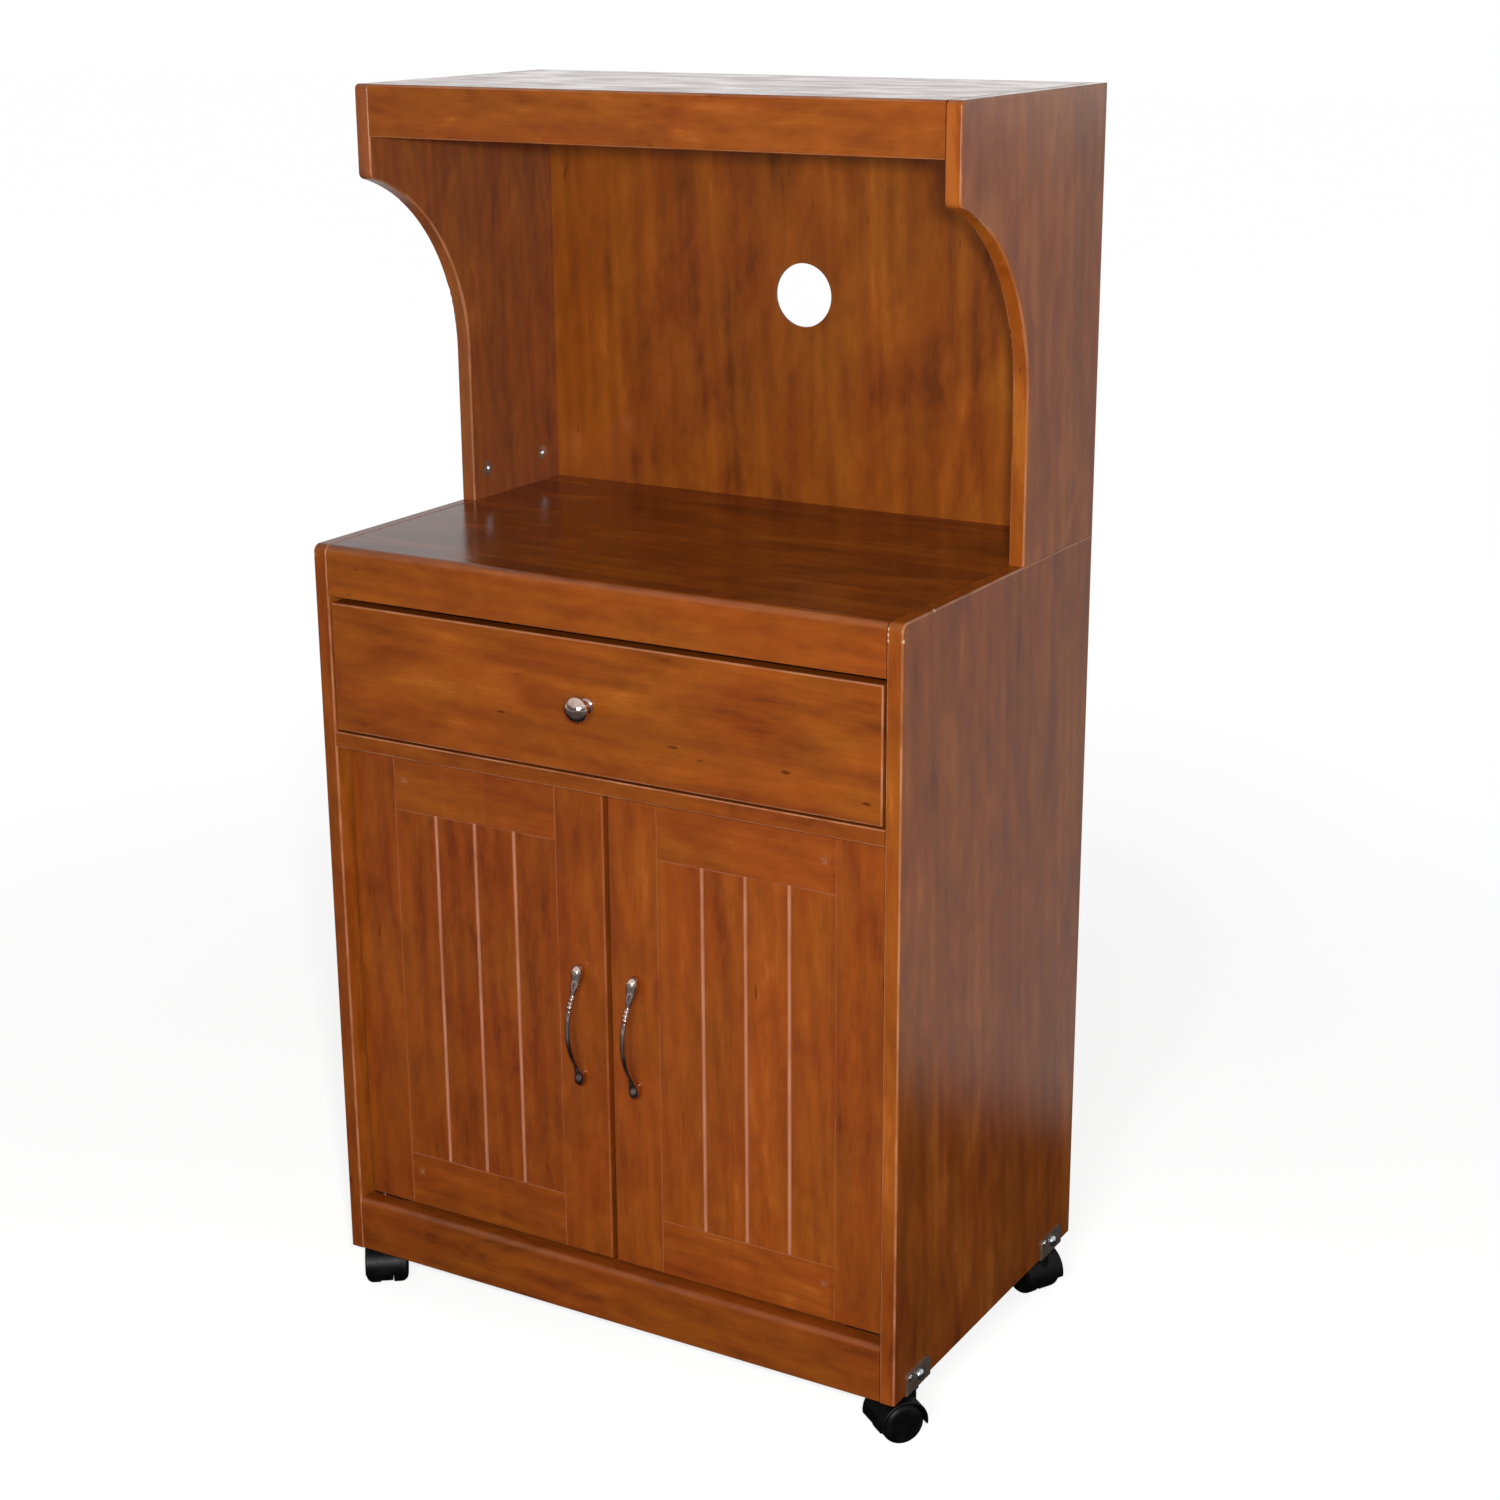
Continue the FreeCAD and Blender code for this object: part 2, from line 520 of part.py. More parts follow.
# ------------------------------------------------------------------ drawer
def drawer_boards():
    """Front, left side, right side, back and the thin bottom that runs in grooves."""
    base = box(-X_DRAWER_IN - GROOVE_DEPTH, X_DRAWER_IN + GROOVE_DEPTH, Y_DRAWER - GROOVE_DEPTH,
               Y_DRAWER_BACK, Z_DRAWER_BASE, Z_DRAWER_BASE + DRAWER_BASE_BOARD)
    front = box(-X_DRAWER_FRONT, X_DRAWER_FRONT, Y_FRONT, Y_DRAWER, Z_DRAWER, Z_DRAWER_TOP)
    front = soften(front, FRONT_ROUND, lambda p: near(p.y, Y_FRONT)).cut(base)
    right = box(X_DRAWER_IN, X_DRAWER, Y_DRAWER, Y_DRAWER_BACK, Z_DRAWER_SIDE, Z_DRAWER_SIDE_TOP)
    groove_top = Z_RUNNER + RUNNER_HEIGHT + RUNNER_SEAT_CLEARANCE
    groove = box(X_RUNNER - RUNNER_SIDE_CLEARANCE, X_DRAWER, Y_DRAWER, Y_DRAWER_BACK,
                 Z_RUNNER - RUNNER_PLAY, groove_top)
    right = right.cut(base).cut(groove)
    back = box(-X_DRAWER_IN, X_DRAWER_IN, Y_DRAWER_BACK - DRAWER_BOARD, Y_DRAWER_BACK,
               Z_DRAWER_BASE + DRAWER_BASE_BOARD, Z_DRAWER_SIDE_TOP)
    return front, mirrored(right), right, back, base


def runner(sign):
    """Plastic strip on the cabinet side, for the groove in the drawer side."""
    strip = box(sign * X_RUNNER, sign * X_IN, Y_RUNNER, Y_RUNNER + RUNNER_LENGTH,
                Z_RUNNER, Z_RUNNER + RUNNER_HEIGHT)
    strip = soften(strip, RUNNER_SIDE_CLEARANCE, lambda p: near(abs(p.x), X_RUNNER))
    for y in runner_screw_spots():
        z = Z_RUNNER + RUNNER_HEIGHT / 2
        strip = strip.cut(rod((sign * X_RUNNER, y, z), (sign * (X_RUNNER + RUNNER_SCREW_SINK), y, z),
                              SMALL_SCREW_HEAD_RADIUS + RUNNER_SIDE_CLEARANCE))
    return strip


def runner_screw_spots():
    return Y_RUNNER + RUNNER_SCREW_FROM_END, Y_RUNNER + RUNNER_LENGTH - RUNNER_SCREW_FROM_END


def runner_screws():
    """Two sunk screws through each runner."""
    return [screw((sign * (X_RUNNER + RUNNER_SCREW_SINK), y, Z_RUNNER + RUNNER_HEIGHT / 2), (sign, 0, 0),
                  SMALL_SCREW_RADIUS, SMALL_SCREW_LENGTH, SMALL_SCREW_HEAD_RADIUS, SMALL_SCREW_HEAD_HEIGHT)
            for sign in (-1, 1) for y in runner_screw_spots()]


def knob():
    """Turned mushroom knob, near the middle of the drawer front."""
    def at(reach, radius):
        return Vector(KNOB_OFF_MIDDLE + radius, Y_FRONT - reach, Z_KNOB)

    foot_end = KNOB_BASE_THICKNESS
    neck_start = 2 * KNOB_BASE_THICKNESS
    rim_end = KNOB_HEAD_START + KNOB_RIM
    rim_middle = at(KNOB_HEAD_START + KNOB_RIM / 2, KNOB_HEAD_RADIUS + KNOB_RIM / 4)
    flare_middle = at((KNOB_NECK_END + KNOB_HEAD_START) / 2 + KNOB_RIM / 2,
                      (KNOB_NECK_RADIUS + KNOB_HEAD_RADIUS) / 2 - KNOB_RIM / 2)
    dome_rise = KNOB_REACH - rim_end
    dome_radius = (KNOB_HEAD_RADIUS ** 2 + dome_rise ** 2) / (2 * dome_rise)
    half = math.asin(KNOB_HEAD_RADIUS / dome_radius) / 2
    dome_middle = at(KNOB_REACH - dome_radius * (1 - math.cos(half)), dome_radius * math.sin(half))
    edges = [
        Part.LineSegment(at(0, 0), at(0, KNOB_BASE_RADIUS)),
        Part.LineSegment(at(0, KNOB_BASE_RADIUS), at(foot_end, KNOB_BASE_RADIUS)),
        Part.LineSegment(at(foot_end, KNOB_BASE_RADIUS), at(neck_start, KNOB_NECK_RADIUS)),
        Part.LineSegment(at(neck_start, KNOB_NECK_RADIUS), at(KNOB_NECK_END, KNOB_NECK_RADIUS)),
        Part.Arc(at(KNOB_NECK_END, KNOB_NECK_RADIUS), flare_middle, at(KNOB_HEAD_START, KNOB_HEAD_RADIUS)),
        Part.Arc(at(KNOB_HEAD_START, KNOB_HEAD_RADIUS), rim_middle, at(rim_end, KNOB_HEAD_RADIUS)),
        Part.Arc(at(rim_end, KNOB_HEAD_RADIUS), dome_middle, at(KNOB_REACH, 0)),
        Part.LineSegment(at(KNOB_REACH, 0), at(0, 0))]
    outline = Part.Face(Part.Wire([edge.toShape() for edge in edges]))
    return outline.revolve(Vector(KNOB_OFF_MIDDLE, Y_FRONT, Z_KNOB), Vector(0, 1, 0), 360)


# ------------------------------------------------------------------ doors
def door(sign):
    """Inset door: stile and rail lines and three beads routed in the face."""
    x0 = X_DOOR_FREE
    x1 = X_DOOR_HINGE
    panel = box(x0, x1, Y_DOOR, Y_DOOR_BACK, Z_DOOR, Z_DOOR_TOP)
    panel = soften(panel, DOOR_HINGE_ROUND, lambda p: near(p.y, Y_DOOR) and near(p.x, x1))
    panel = soften(panel, DOOR_ROUND, lambda p: near(p.y, Y_DOOR) and (near(p.x, x0) or near(p.z, Z_DOOR)
                                                                       or near(p.z, Z_DOOR_TOP)))
    z_low = Z_DOOR + RAIL_WIDTH
    z_high = Z_DOOR_TOP - RAIL_WIDTH
    middle = (x0 + x1) / 2
    bead_y = Y_DOOR - BEAD_RADIUS + BEAD_DEPTH
    for step in (-1, 0, 1):
        x = middle + step * BEAD_PITCH
        panel = panel.cut(rod((x, bead_y, z_low), (x, bead_y, z_high), BEAD_RADIUS))
    for x in (x0 + STILE_WIDTH, x1 - STILE_WIDTH):
        panel = panel.cut(face_line((x, Z_DOOR), (x, Z_DOOR_TOP)))
    for z in (z_low, z_high):
        panel = panel.cut(face_line((x0 + STILE_WIDTH, z), (x1 - STILE_WIDTH, z)))
    return panel if sign > 0 else mirrored(panel)


def face_line(start, end):
    """A fine V line in a door's face, from one (x, z) point to another."""
    run = Vector(end[0] - start[0], 0, end[1] - start[1])
    side = Vector(0, 1, 0).cross(run).normalize() * FRAME_LINE_DEPTH
    foot = Vector(start[0], Y_DOOR, start[1])
    tip = foot + Vector(0, FRAME_LINE_DEPTH, 0)
    return Part.Face(Part.makePolygon([foot + side, tip, foot - side, foot + side])).extrude(run)


def handle(sign):
    """Bow pull: a broad head above, three beads, a slim bow and a round foot below."""
    half = HANDLE_LENGTH / 2
    hole = HANDLE_HOLE_SPACING / 2
    bow_radius = (hole ** 2 + HANDLE_BOW ** 2) / (2 * HANDLE_BOW)
    x = sign * X_HANDLE

    def bow(z):
        return HANDLE_BOW - bow_radius + math.sqrt(bow_radius ** 2 - z ** 2)

    pad, bar, tip = HANDLE_PAD, HANDLE_BAR, HANDLE_TIP
    pad_reach = pad + HANDLE_PAD_GAP
    neck = (pad + bar) / 2
    taper = hole - HANDLE_TAPER
    # Each section: height from the centre, reach from the door, half width.
    sections = [
        (half, HANDLE_END_REACH, tip), (half - tip, HANDLE_END_REACH, 2 * tip),
        (half - pad, pad_reach, pad), (hole - tip, pad_reach + tip, pad),
        (hole - pad, bow(hole - pad) + tip, 0.9 * pad), (taper, bow(taper), neck),
        (HANDLE_BEAD_HEIGHT, bow(HANDLE_BEAD_HEIGHT), bar), (0, HANDLE_BOW, bar),
        (-HANDLE_BEAD_HEIGHT, bow(HANDLE_BEAD_HEIGHT), bar), (-taper, bow(taper), neck),
        (-hole, pad_reach + tip, pad), (pad - half, pad_reach, pad),
        (tip - half, HANDLE_END_REACH, 2 * tip), (-half, HANDLE_END_REACH, tip)]
    rings = [Part.Wire([Part.makeCircle(width, Vector(x, Y_DOOR - reach, Z_HANDLE + z))])
             for z, reach, width in sections]
    shape = Part.makeLoft(rings, True)
    for step in (-1, 0, 1):
        z = HANDLE_BEAD_HEIGHT + step * HANDLE_BEAD_PITCH
        bead = Part.makeSphere(HANDLE_BEAD_RADIUS, Vector(x, Y_DOOR - bow(z), Z_HANDLE + z))
        shape = shape.fuse(bead)
    for z in (Z_HANDLE - hole, Z_HANDLE + hole):
        post = rod((x, Y_DOOR, z), (x, Y_DOOR - HANDLE_POST_HEIGHT, z), HANDLE_POST_RADIUS)
        shape = shape.fuse(post)
    return shape


def handle_screws(sign):
    hole = HANDLE_HOLE_SPACING / 2
    return [screw((sign * X_HANDLE, Y_DOOR_BACK, Z_HANDLE + z), (0, -1, 0), SCREW_RADIUS,
                  BOARD + HANDLE_POST_HEIGHT, SCREW_HEAD_RADIUS, SCREW_HEAD_HEIGHT) for z in (-hole, hole)]


# ------------------------------------------------------------------ pivot hinges and catch
def door_leaves(sign):
    """The two leaves let into a door's ends, each with a tab screwed to the door's back."""
    leaves = []
    x0 = sign * (X_DOOR_HINGE - DOOR_LEAF_INSET)
    x1 = sign * (X_DOOR_HINGE - DOOR_LEAF_INSET - DOOR_LEAF_LENGTH)
    x_tab = x1 + sign * LEAF_TAB_WIDTH
    for end, into in ((Z_DOOR_TOP, -1), (Z_DOOR, 1)):
        skin = end + into * HINGE_PLATE
        leaf = box(x0, x1, Y_PIVOT - HINGE_PLATE_WIDTH / 2, Y_PIVOT + HINGE_PLATE_WIDTH / 2, end, skin)
        leaf = leaf.fuse(box(x_tab, x1, Y_PIVOT, Y_DOOR_BACK + HINGE_PLATE, end, skin))
        leaf = leaf.fuse(box(x_tab, x1, Y_DOOR_BACK, Y_DOOR_BACK + HINGE_PLATE,
                             end, end + into * LEAF_TAB_HEIGHT))
        leaf = leaf.removeSplitter()
        leaves.append(leaf.cut(rod((sign * X_PIVOT, Y_PIVOT, end), (sign * X_PIVOT, Y_PIVOT, skin),
                                   PIVOT_PIN_RADIUS + RUNNING_CLEARANCE)))
    return leaves


def leaf_screws(sign):
    x = sign * (X_DOOR_HINGE - DOOR_LEAF_INSET - DOOR_LEAF_LENGTH + LEAF_TAB_WIDTH / 2)
    screws = []
    for end, into in ((Z_DOOR_TOP, -1), (Z_DOOR, 1)):
        for drop in LEAF_SCREW_DROPS:
            seat = (x, Y_DOOR_BACK + HINGE_PLATE, end + into * drop)
            screws.append(screw(seat, (0, -1, 0), SMALL_SCREW_RADIUS, SMALL_SCREW_LENGTH,
                                SMALL_SCREW_HEAD_RADIUS, SMALL_SCREW_HEAD_HEIGHT))
    return screws


def pin_holes(sign):
    """Blind holes in a door's ends, under the leaves, for the pivot pins' tips."""
    x = sign * X_PIVOT
    depth = HINGE_PLATE + PIVOT_PIN_REACH
    return [rod((x, Y_PIVOT, end), (x, Y_PIVOT, end + into * depth), PIVOT_PIN_RADIUS * 1.25)
            for end, into in ((Z_DOOR_TOP, -1), (Z_DOOR, 1))]


def cabinet_leaves():
    """Four plates let into the fixed shelf and the bottom panel, each with its pivot pin."""
    leaves = []
    for sign in (-1, 1):
        x0 = sign * (X_IN - CABINET_LEAF_INSET)
        x1 = sign * (X_IN - CABINET_LEAF_INSET - CABINET_LEAF_LENGTH)
        for face, into_door in ((Z_SHELF, -1), (Z_TOE_TOP, 1)):
            plate = box(x0, x1, Y_PIVOT - HINGE_PLATE_WIDTH / 2, Y_PIVOT + HINGE_PLATE_WIDTH / 2,
                        face, face - into_door * HINGE_PLATE)
            pin = rod((sign * X_PIVOT, Y_PIVOT, face - into_door * HINGE_PLATE),
                      (sign * X_PIVOT, Y_PIVOT, face + into_door * (DOOR_END_GAP + PIVOT_PIN_REACH)),
                      PIVOT_PIN_RADIUS)
            leaves.append(plate.fuse(pin).removeSplitter())
    return leaves


def magnet_catch():
    """Double magnetic catch under the fixed shelf, behind the doors' free corners."""
    y0 = Y_DOOR_BACK + STRIKE_PLATE + CATCH_GAP
    body = box(-CATCH_LENGTH / 2, CATCH_LENGTH / 2, y0, y0 + CATCH_DEPTH, Z_SHELF - CATCH_HEIGHT, Z_SHELF)
    return soften(body, RAIL_ROUND, lambda p: near(p.z, Z_SHELF - CATCH_HEIGHT))


def strike_plate(sign):
    x0 = X_DOOR_FREE + STRIKE_INSET
    plate = box(sign * x0, sign * (x0 + STRIKE_LENGTH), Y_DOOR_BACK, Y_DOOR_BACK + STRIKE_PLATE,
                Z_DOOR_TOP - STRIKE_DROP - STRIKE_HEIGHT, Z_DOOR_TOP - STRIKE_DROP)
    return soften(plate, STRIKE_PLATE * 0.8, lambda p: near(p.y, Y_DOOR_BACK + STRIKE_PLATE / 2))


# ------------------------------------------------------------------ casters
def corner_signs(corner):
    """Right or left, and front or rear, as signs."""
    return (1 if "right" in corner else -1), (1 if "rear" in corner else -1)


def stem_y(corner):
    """Middle of a corner's bracket, which is also its stem."""
    _, rear = corner_signs(corner)
    return Y_BACK - CASTER_END_DISTANCE if rear > 0 else Y_FRONT + CASTER_END_DISTANCE


def bracket(corner):
    """Angle plate: an upstand on the side's outer face and a foot under it that carries the stem."""
    sign, _ = corner_signs(corner)
    y0 = stem_y(corner) - BRACKET_LENGTH / 2
    y1 = y0 + BRACKET_LENGTH
    outer = sign * (X_OUT + BRACKET_STEEL)
    foot = box(outer, sign * (X_OUT + BRACKET_STEEL - BRACKET_FOOT), y0, y1, Z_BASE - BRACKET_STEEL, Z_BASE)
    upstand = box(outer, sign * X_OUT, y0, y1, Z_BASE - BRACKET_STEEL, Z_BASE + BRACKET_UPSTAND)
    plate = foot.fuse(upstand).removeSplitter()
    plate = soften(plate, BRACKET_STEEL * 0.9, lambda p: near(abs(p.x), X_OUT + BRACKET_STEEL)
                   and near(p.z, Z_BASE - BRACKET_STEEL))
    return soften(plate, 3 * BRACKET_STEEL, lambda p: near(p.z, Z_BASE + BRACKET_UPSTAND)
                  and (near(p.y, y0) or near(p.y, y1)))


def bracket_bolt(corner):
    sign, _ = corner_signs(corner)
    seat = (sign * (X_OUT + BRACKET_STEEL), stem_y(corner), Z_BASE + BRACKET_BOLT_HEIGHT)
    return screw(seat, (-sign, 0, 0), BRACKET_BOLT_RADIUS, BRACKET_BOLT_LENGTH,
                 BRACKET_BOLT_HEAD_RADIUS, BRACKET_BOLT_HEAD_HEIGHT)


def bracket_screw(corner):
    sign, _ = corner_signs(corner)
    seat = (sign * (X_OUT + BRACKET_STEEL), stem_y(corner) - BRACKET_LENGTH / 2 + BRACKET_SCREW_FROM_END,
            Z_BASE + BRACKET_SCREW_HEIGHT)
    return screw(seat, (-sign, 0, 0), SMALL_SCREW_RADIUS, SMALL_SCREW_LENGTH,
                 SMALL_SCREW_HEAD_RADIUS, SMALL_SCREW_HEAD_HEIGHT)


def stem(corner):
    """Swivel stem: riveted over the bracket's foot, with a collar below it and the post inside the hood."""
    sign, _ = corner_signs(corner)
    x, y = sign * X_STEM, stem_y(corner)
    stem_end = Z_BOSS - STEM_HEAD_LENGTH
    shape = rod((x, y, Z_BASE + RIVET_HEIGHT), (x, y, stem_end), STEM_RADIUS)
    shape = shape.fuse(rod((x, y, Z_BASE), (x, y, Z_BASE + RIVET_HEIGHT), RIVET_RADIUS))
    return shape.fuse(rod((x, y, Z_BASE - BRACKET_STEEL), (x, y, Z_COLLAR), STEM_COLLAR_RADIUS))


def caster_pieces(corner):
    """Hood and its two wheels, drawn trailing straight forward, then turned about the stem."""
    sign, _ = corner_signs(corner)
    x, y = sign * X_STEM, stem_y(corner)
    y_axle = y - CASTER_TRAIL
    half_width = WHEEL_SPACING / 2 + WHEEL_WIDTH
    hood_outer = WHEEL_RADIUS + HOOD_CLEARANCE + HOOD_THICKNESS
    wheel_edge = rod((x - half_width, y_axle, Z_AXLE), (x + half_width, y_axle, Z_AXLE), hood_outer)
    wheel_edge = soften(wheel_edge, HOOD_ROUND, lambda p: near(abs(p.x - x), half_width))
    inside = rod((x - half_width, y_axle, Z_AXLE), (x + half_width, y_axle, Z_AXLE),
                 WHEEL_RADIUS + HOOD_CLEARANCE)
    web = rod((x - WEB_THICKNESS / 2, y_axle, Z_AXLE), (x + WEB_THICKNESS / 2, y_axle, Z_AXLE),
              WHEEL_RADIUS + HOOD_CLEARANCE)
    above_skirt = box(x - half_width, x + half_width, y_axle - hood_outer, y_axle + hood_outer,
                      Z_AXLE - HOOD_SKIRT, Z_AXLE + hood_outer)
    above_web = box(x - half_width, x + half_width, y_axle - hood_outer, y_axle + hood_outer,
                    Z_AXLE - WEB_DROP, Z_AXLE + hood_outer)
    hood = wheel_edge.cut(inside).common(above_skirt)
    hood = hood.fuse(web.common(above_web))
    hood = hood.fuse(rod((x, y, Z_BOSS), (x, y, Z_BOSS - STEM_HEAD_LENGTH - HOOD_THICKNESS), BOSS_RADIUS))
    hood = hood.cut(rod((x, y, Z_BOSS), (x, y, Z_BOSS - STEM_HEAD_LENGTH - RUNNING_CLEARANCE),
                        STEM_RADIUS + RUNNING_CLEARANCE))
    stub_end = half_width - STUB_COVER
    stub = rod((x - stub_end, y_axle, Z_AXLE), (x + stub_end, y_axle, Z_AXLE), STUB_RADIUS)
    wheels = [wheel(x, y_axle, side) for side in (-1, 1)]
    turned = [hood.fuse(stub).removeSplitter()] + wheels
    for piece in turned:
        piece.rotate(Vector(x, y, 0), Vector(0, 0, 1), CASTER_TURNS[corner])
    return turned


def wheel(x, y_axle, side):
    """A cupped wheel: rounded tread, outer disc and a hub towards the web, bored for the stub."""
    inner = x + side * WHEEL_SPACING / 2
    outer = inner + side * WHEEL_WIDTH
    disc = outer - side * WHEEL_WALL
    hub_face = x + side * (WEB_THICKNESS / 2 + WHEEL_HUB_CLEARANCE)
    bore_end = outer - side * (STUB_COVER - STUB_END_CLEARANCE)
    tyre = rod((inner, y_axle, Z_AXLE), (outer, y_axle, Z_AXLE), WHEEL_RADIUS)
    tyre = soften(tyre, WHEEL_ROUND, lambda p: near(p.x, outer))
    tyre = tyre.cut(rod((inner, y_axle, Z_AXLE), (disc, y_axle, Z_AXLE), WHEEL_RADIUS - TYRE_THICKNESS))
    tyre = tyre.fuse(rod((hub_face, y_axle, Z_AXLE), (disc, y_axle, Z_AXLE), WHEEL_HUB_RADIUS))
    return tyre.cut(rod((hub_face, y_axle, Z_AXLE), (bore_end, y_axle, Z_AXLE),
                        STUB_RADIUS + RUNNING_CLEARANCE)).removeSplitter()


# ------------------------------------------------------------------ the stand
def build():
    corners = list(CASTER_TURNS)
    deck, apron = folded_board(Y_FRONT, Z_DECK, APRON_HEIGHT, DECK_ROUND)
    hutch_top, valance = folded_board(Y_HUTCH_FRONT, Z_TOP, VALANCE_HEIGHT, HUTCH_TOP_ROUND)

    fittings = board_cams(Z_TOE_TOP - BOARD / 2, Y_FRONT + BOARD, Y_BOARD_BACK, -1)
    fittings += board_cams(Z_SHELF + BOARD / 2, Y_FRONT + BOARD, Y_BOARD_BACK, -1)
    fittings += board_cams(Z_DECK - BOARD / 2, Y_FRONT + BOARD, Y_BOARD_BACK, -1)
    fittings += board_cams(Z_TOP - BOARD / 2, Y_HUTCH_FRONT + BOARD, Y_BOARD_BACK, -1)
    fittings += hutch_cams()
    cams = [cam for cam, _, _ in fittings]
    bolts = [bolt for _, bolt, _ in fittings]
    pockets = [pocket for _, _, pocket in fittings]

    dowels = end_dowels(Y_FRONT + BOARD / 2, Z_BASE + TOE_RAIL_HEIGHT / 2)
    dowels += end_dowels(Y_FRONT + BOARD / 2, Z_APRON + (APRON_HEIGHT - BOARD) / 2)
    dowels += end_dowels(Y_HUTCH_FRONT + BOARD / 2, Z_TOP - VALANCE_HEIGHT + (VALANCE_HEIGHT - BOARD) / 2)
    foot_middle = (Y_HUTCH_FOOT + HUTCH_CAM_FRONT + Y_BACK - HUTCH_CAM_BACK) / 2
    dowels += [rod((sign * (X_IN + BOARD / 2), foot_middle, Z_DECK - DOWEL_LENGTH / 2),
                   (sign * (X_IN + BOARD / 2), foot_middle, Z_DECK + DOWEL_LENGTH / 2), DOWEL_RADIUS)
               for sign in (-1, 1)]

    nails = back_nails(Z_BASE, Z_DECK, Z_SHELF + BOARD / 2)
    nails += back_nails(Z_DECK, Z_TOP, Z_TOP - BOARD / 2)
    pins = shelf_pins()
    strip_screws = runner_screws()
    bracket_bolts = [bracket_bolt(corner) for corner in corners]
    bracket_screws = [bracket_screw(corner) for corner in corners]
    stems = [stem(corner) for corner in corners]
    plates = cabinet_leaves()
    catch = magnet_catch()

    held = Part.makeCompound(bolts + pockets + dowels + nails + pins + strip_screws
                             + bracket_bolts + bracket_screws + plates)
    export("left_side_panel", lower_side(-1).cut(held))
    export("right_side_panel", lower_side(1).cut(held))
    export("hutch_left_side", hutch_side(-1).cut(held))
    export("hutch_right_side", hutch_side(1).cut(held))
    export("deck_board", deck.cut(held))
    export("deck_apron", apron.cut(held))
    export("hutch_top", hutch_top.cut(held))
    export("hutch_valance", valance.cut(held))
    export("toe_rail", toe_rail().cut(held))
    export("bottom_panel", bottom_panel().cut(held))
    export("fixed_shelf", fixed_shelf().cut(held))
    export("loose_shelf", loose_shelf())
    export("shelf_pins", *pins)

    hole = rod((0, Y_BOARD_BACK, Z_DECK + CORD_HOLE_HEIGHT), (0, Y_BACK, Z_DECK + CORD_HOLE_HEIGHT),
               CORD_HOLE_RADIUS)
    export("lower_back_panel", box(-X_OUT, X_OUT, Y_BOARD_BACK, Y_BACK, Z_BASE, Z_DECK).cut(held))
    export("hutch_back_panel", box(-X_OUT, X_OUT, Y_BOARD_BACK, Y_BACK, Z_DECK, Z_TOP).cut(held).cut(hole))
    export("cam_locks", *cams)
    export("cam_bolts", *bolts)
    export("wood_dowels", *dowels)
    export("back_panel_nails", *nails)

    export("drawer_runners", *[runner(sign).cut(Part.makeCompound(strip_screws)) for sign in (-1, 1)])
    export("drawer_runner_screws", *strip_screws)

    knob_screw = screw((KNOB_OFF_MIDDLE, Y_DRAWER, Z_KNOB), (0, -1, 0), SCREW_RADIUS, BOARD + KNOB_SCREW_DEPTH,
                       SCREW_HEAD_RADIUS, SCREW_HEAD_HEIGHT)
    front, left, right, back, base = drawer_boards()
    export("drawer_front", front.cut(knob_screw))
    export("drawer_left_side", left)
    export("drawer_right_side", right)
    export("drawer_back", back)
    export("drawer_bottom", base)
    export("drawer_knob", knob().cut(knob_screw))
    export("knob_screw", knob_screw)

    for name, sign in (("left", -1), ("right", 1)):
        leaves = door_leaves(sign)
        hinge_screws = leaf_screws(sign)
        pull_screws = handle_screws(sign)
        cuts = Part.makeCompound(leaves + hinge_screws + pull_screws + pin_holes(sign))
        export(name + "_door", door(sign).cut(cuts))
        export(name + "_handle", handle(sign).cut(Part.makeCompound(pull_screws)))
        export(name + "_handle_screws", *pull_screws)
        export(name + "_hinge_leaves", *[leaf.cut(Part.makeCompound(hinge_screws)) for leaf in leaves])
        export(name + "_hinge_screws", *hinge_screws)
        export(name + "_strike_plate", strike_plate(sign))
    export("hinge_pivot_plates", *plates)
    export("magnet_catch", catch)

    fixings = Part.makeCompound(bracket_bolts + bracket_screws + stems)
    export("caster_brackets", *[bracket(corner).cut(fixings) for corner in corners])
    export("bracket_bolts", *bracket_bolts)
    export("bracket_screws", *bracket_screws)
    export("caster_stems", *stems)
    for corner in corners:
        hood, left_wheel, right_wheel = caster_pieces(corner)
        export(corner + "_caster_hood", hood)
        export(corner + "_caster_left_wheel", left_wheel)
        export(corner + "_caster_right_wheel", right_wheel)


build()
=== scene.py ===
"""Looks of the rolling microwave stand: printed cherry laminate, chromed pulls, black nylon casters."""
import bpy
import math
from mathutils import Matrix, Vector


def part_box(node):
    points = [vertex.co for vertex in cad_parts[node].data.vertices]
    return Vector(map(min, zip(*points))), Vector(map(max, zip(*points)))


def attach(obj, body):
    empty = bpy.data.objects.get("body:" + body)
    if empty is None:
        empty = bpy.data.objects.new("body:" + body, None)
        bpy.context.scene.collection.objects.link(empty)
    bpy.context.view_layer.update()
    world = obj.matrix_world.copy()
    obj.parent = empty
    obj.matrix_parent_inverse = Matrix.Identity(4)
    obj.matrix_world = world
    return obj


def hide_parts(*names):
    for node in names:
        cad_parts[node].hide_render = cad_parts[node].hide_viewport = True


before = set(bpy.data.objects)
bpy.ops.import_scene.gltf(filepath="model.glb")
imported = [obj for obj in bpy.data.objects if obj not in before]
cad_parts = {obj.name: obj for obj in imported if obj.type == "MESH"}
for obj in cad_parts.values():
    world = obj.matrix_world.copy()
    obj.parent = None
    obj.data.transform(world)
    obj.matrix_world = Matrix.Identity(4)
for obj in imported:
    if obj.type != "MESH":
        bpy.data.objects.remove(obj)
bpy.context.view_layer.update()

MM = 0.001

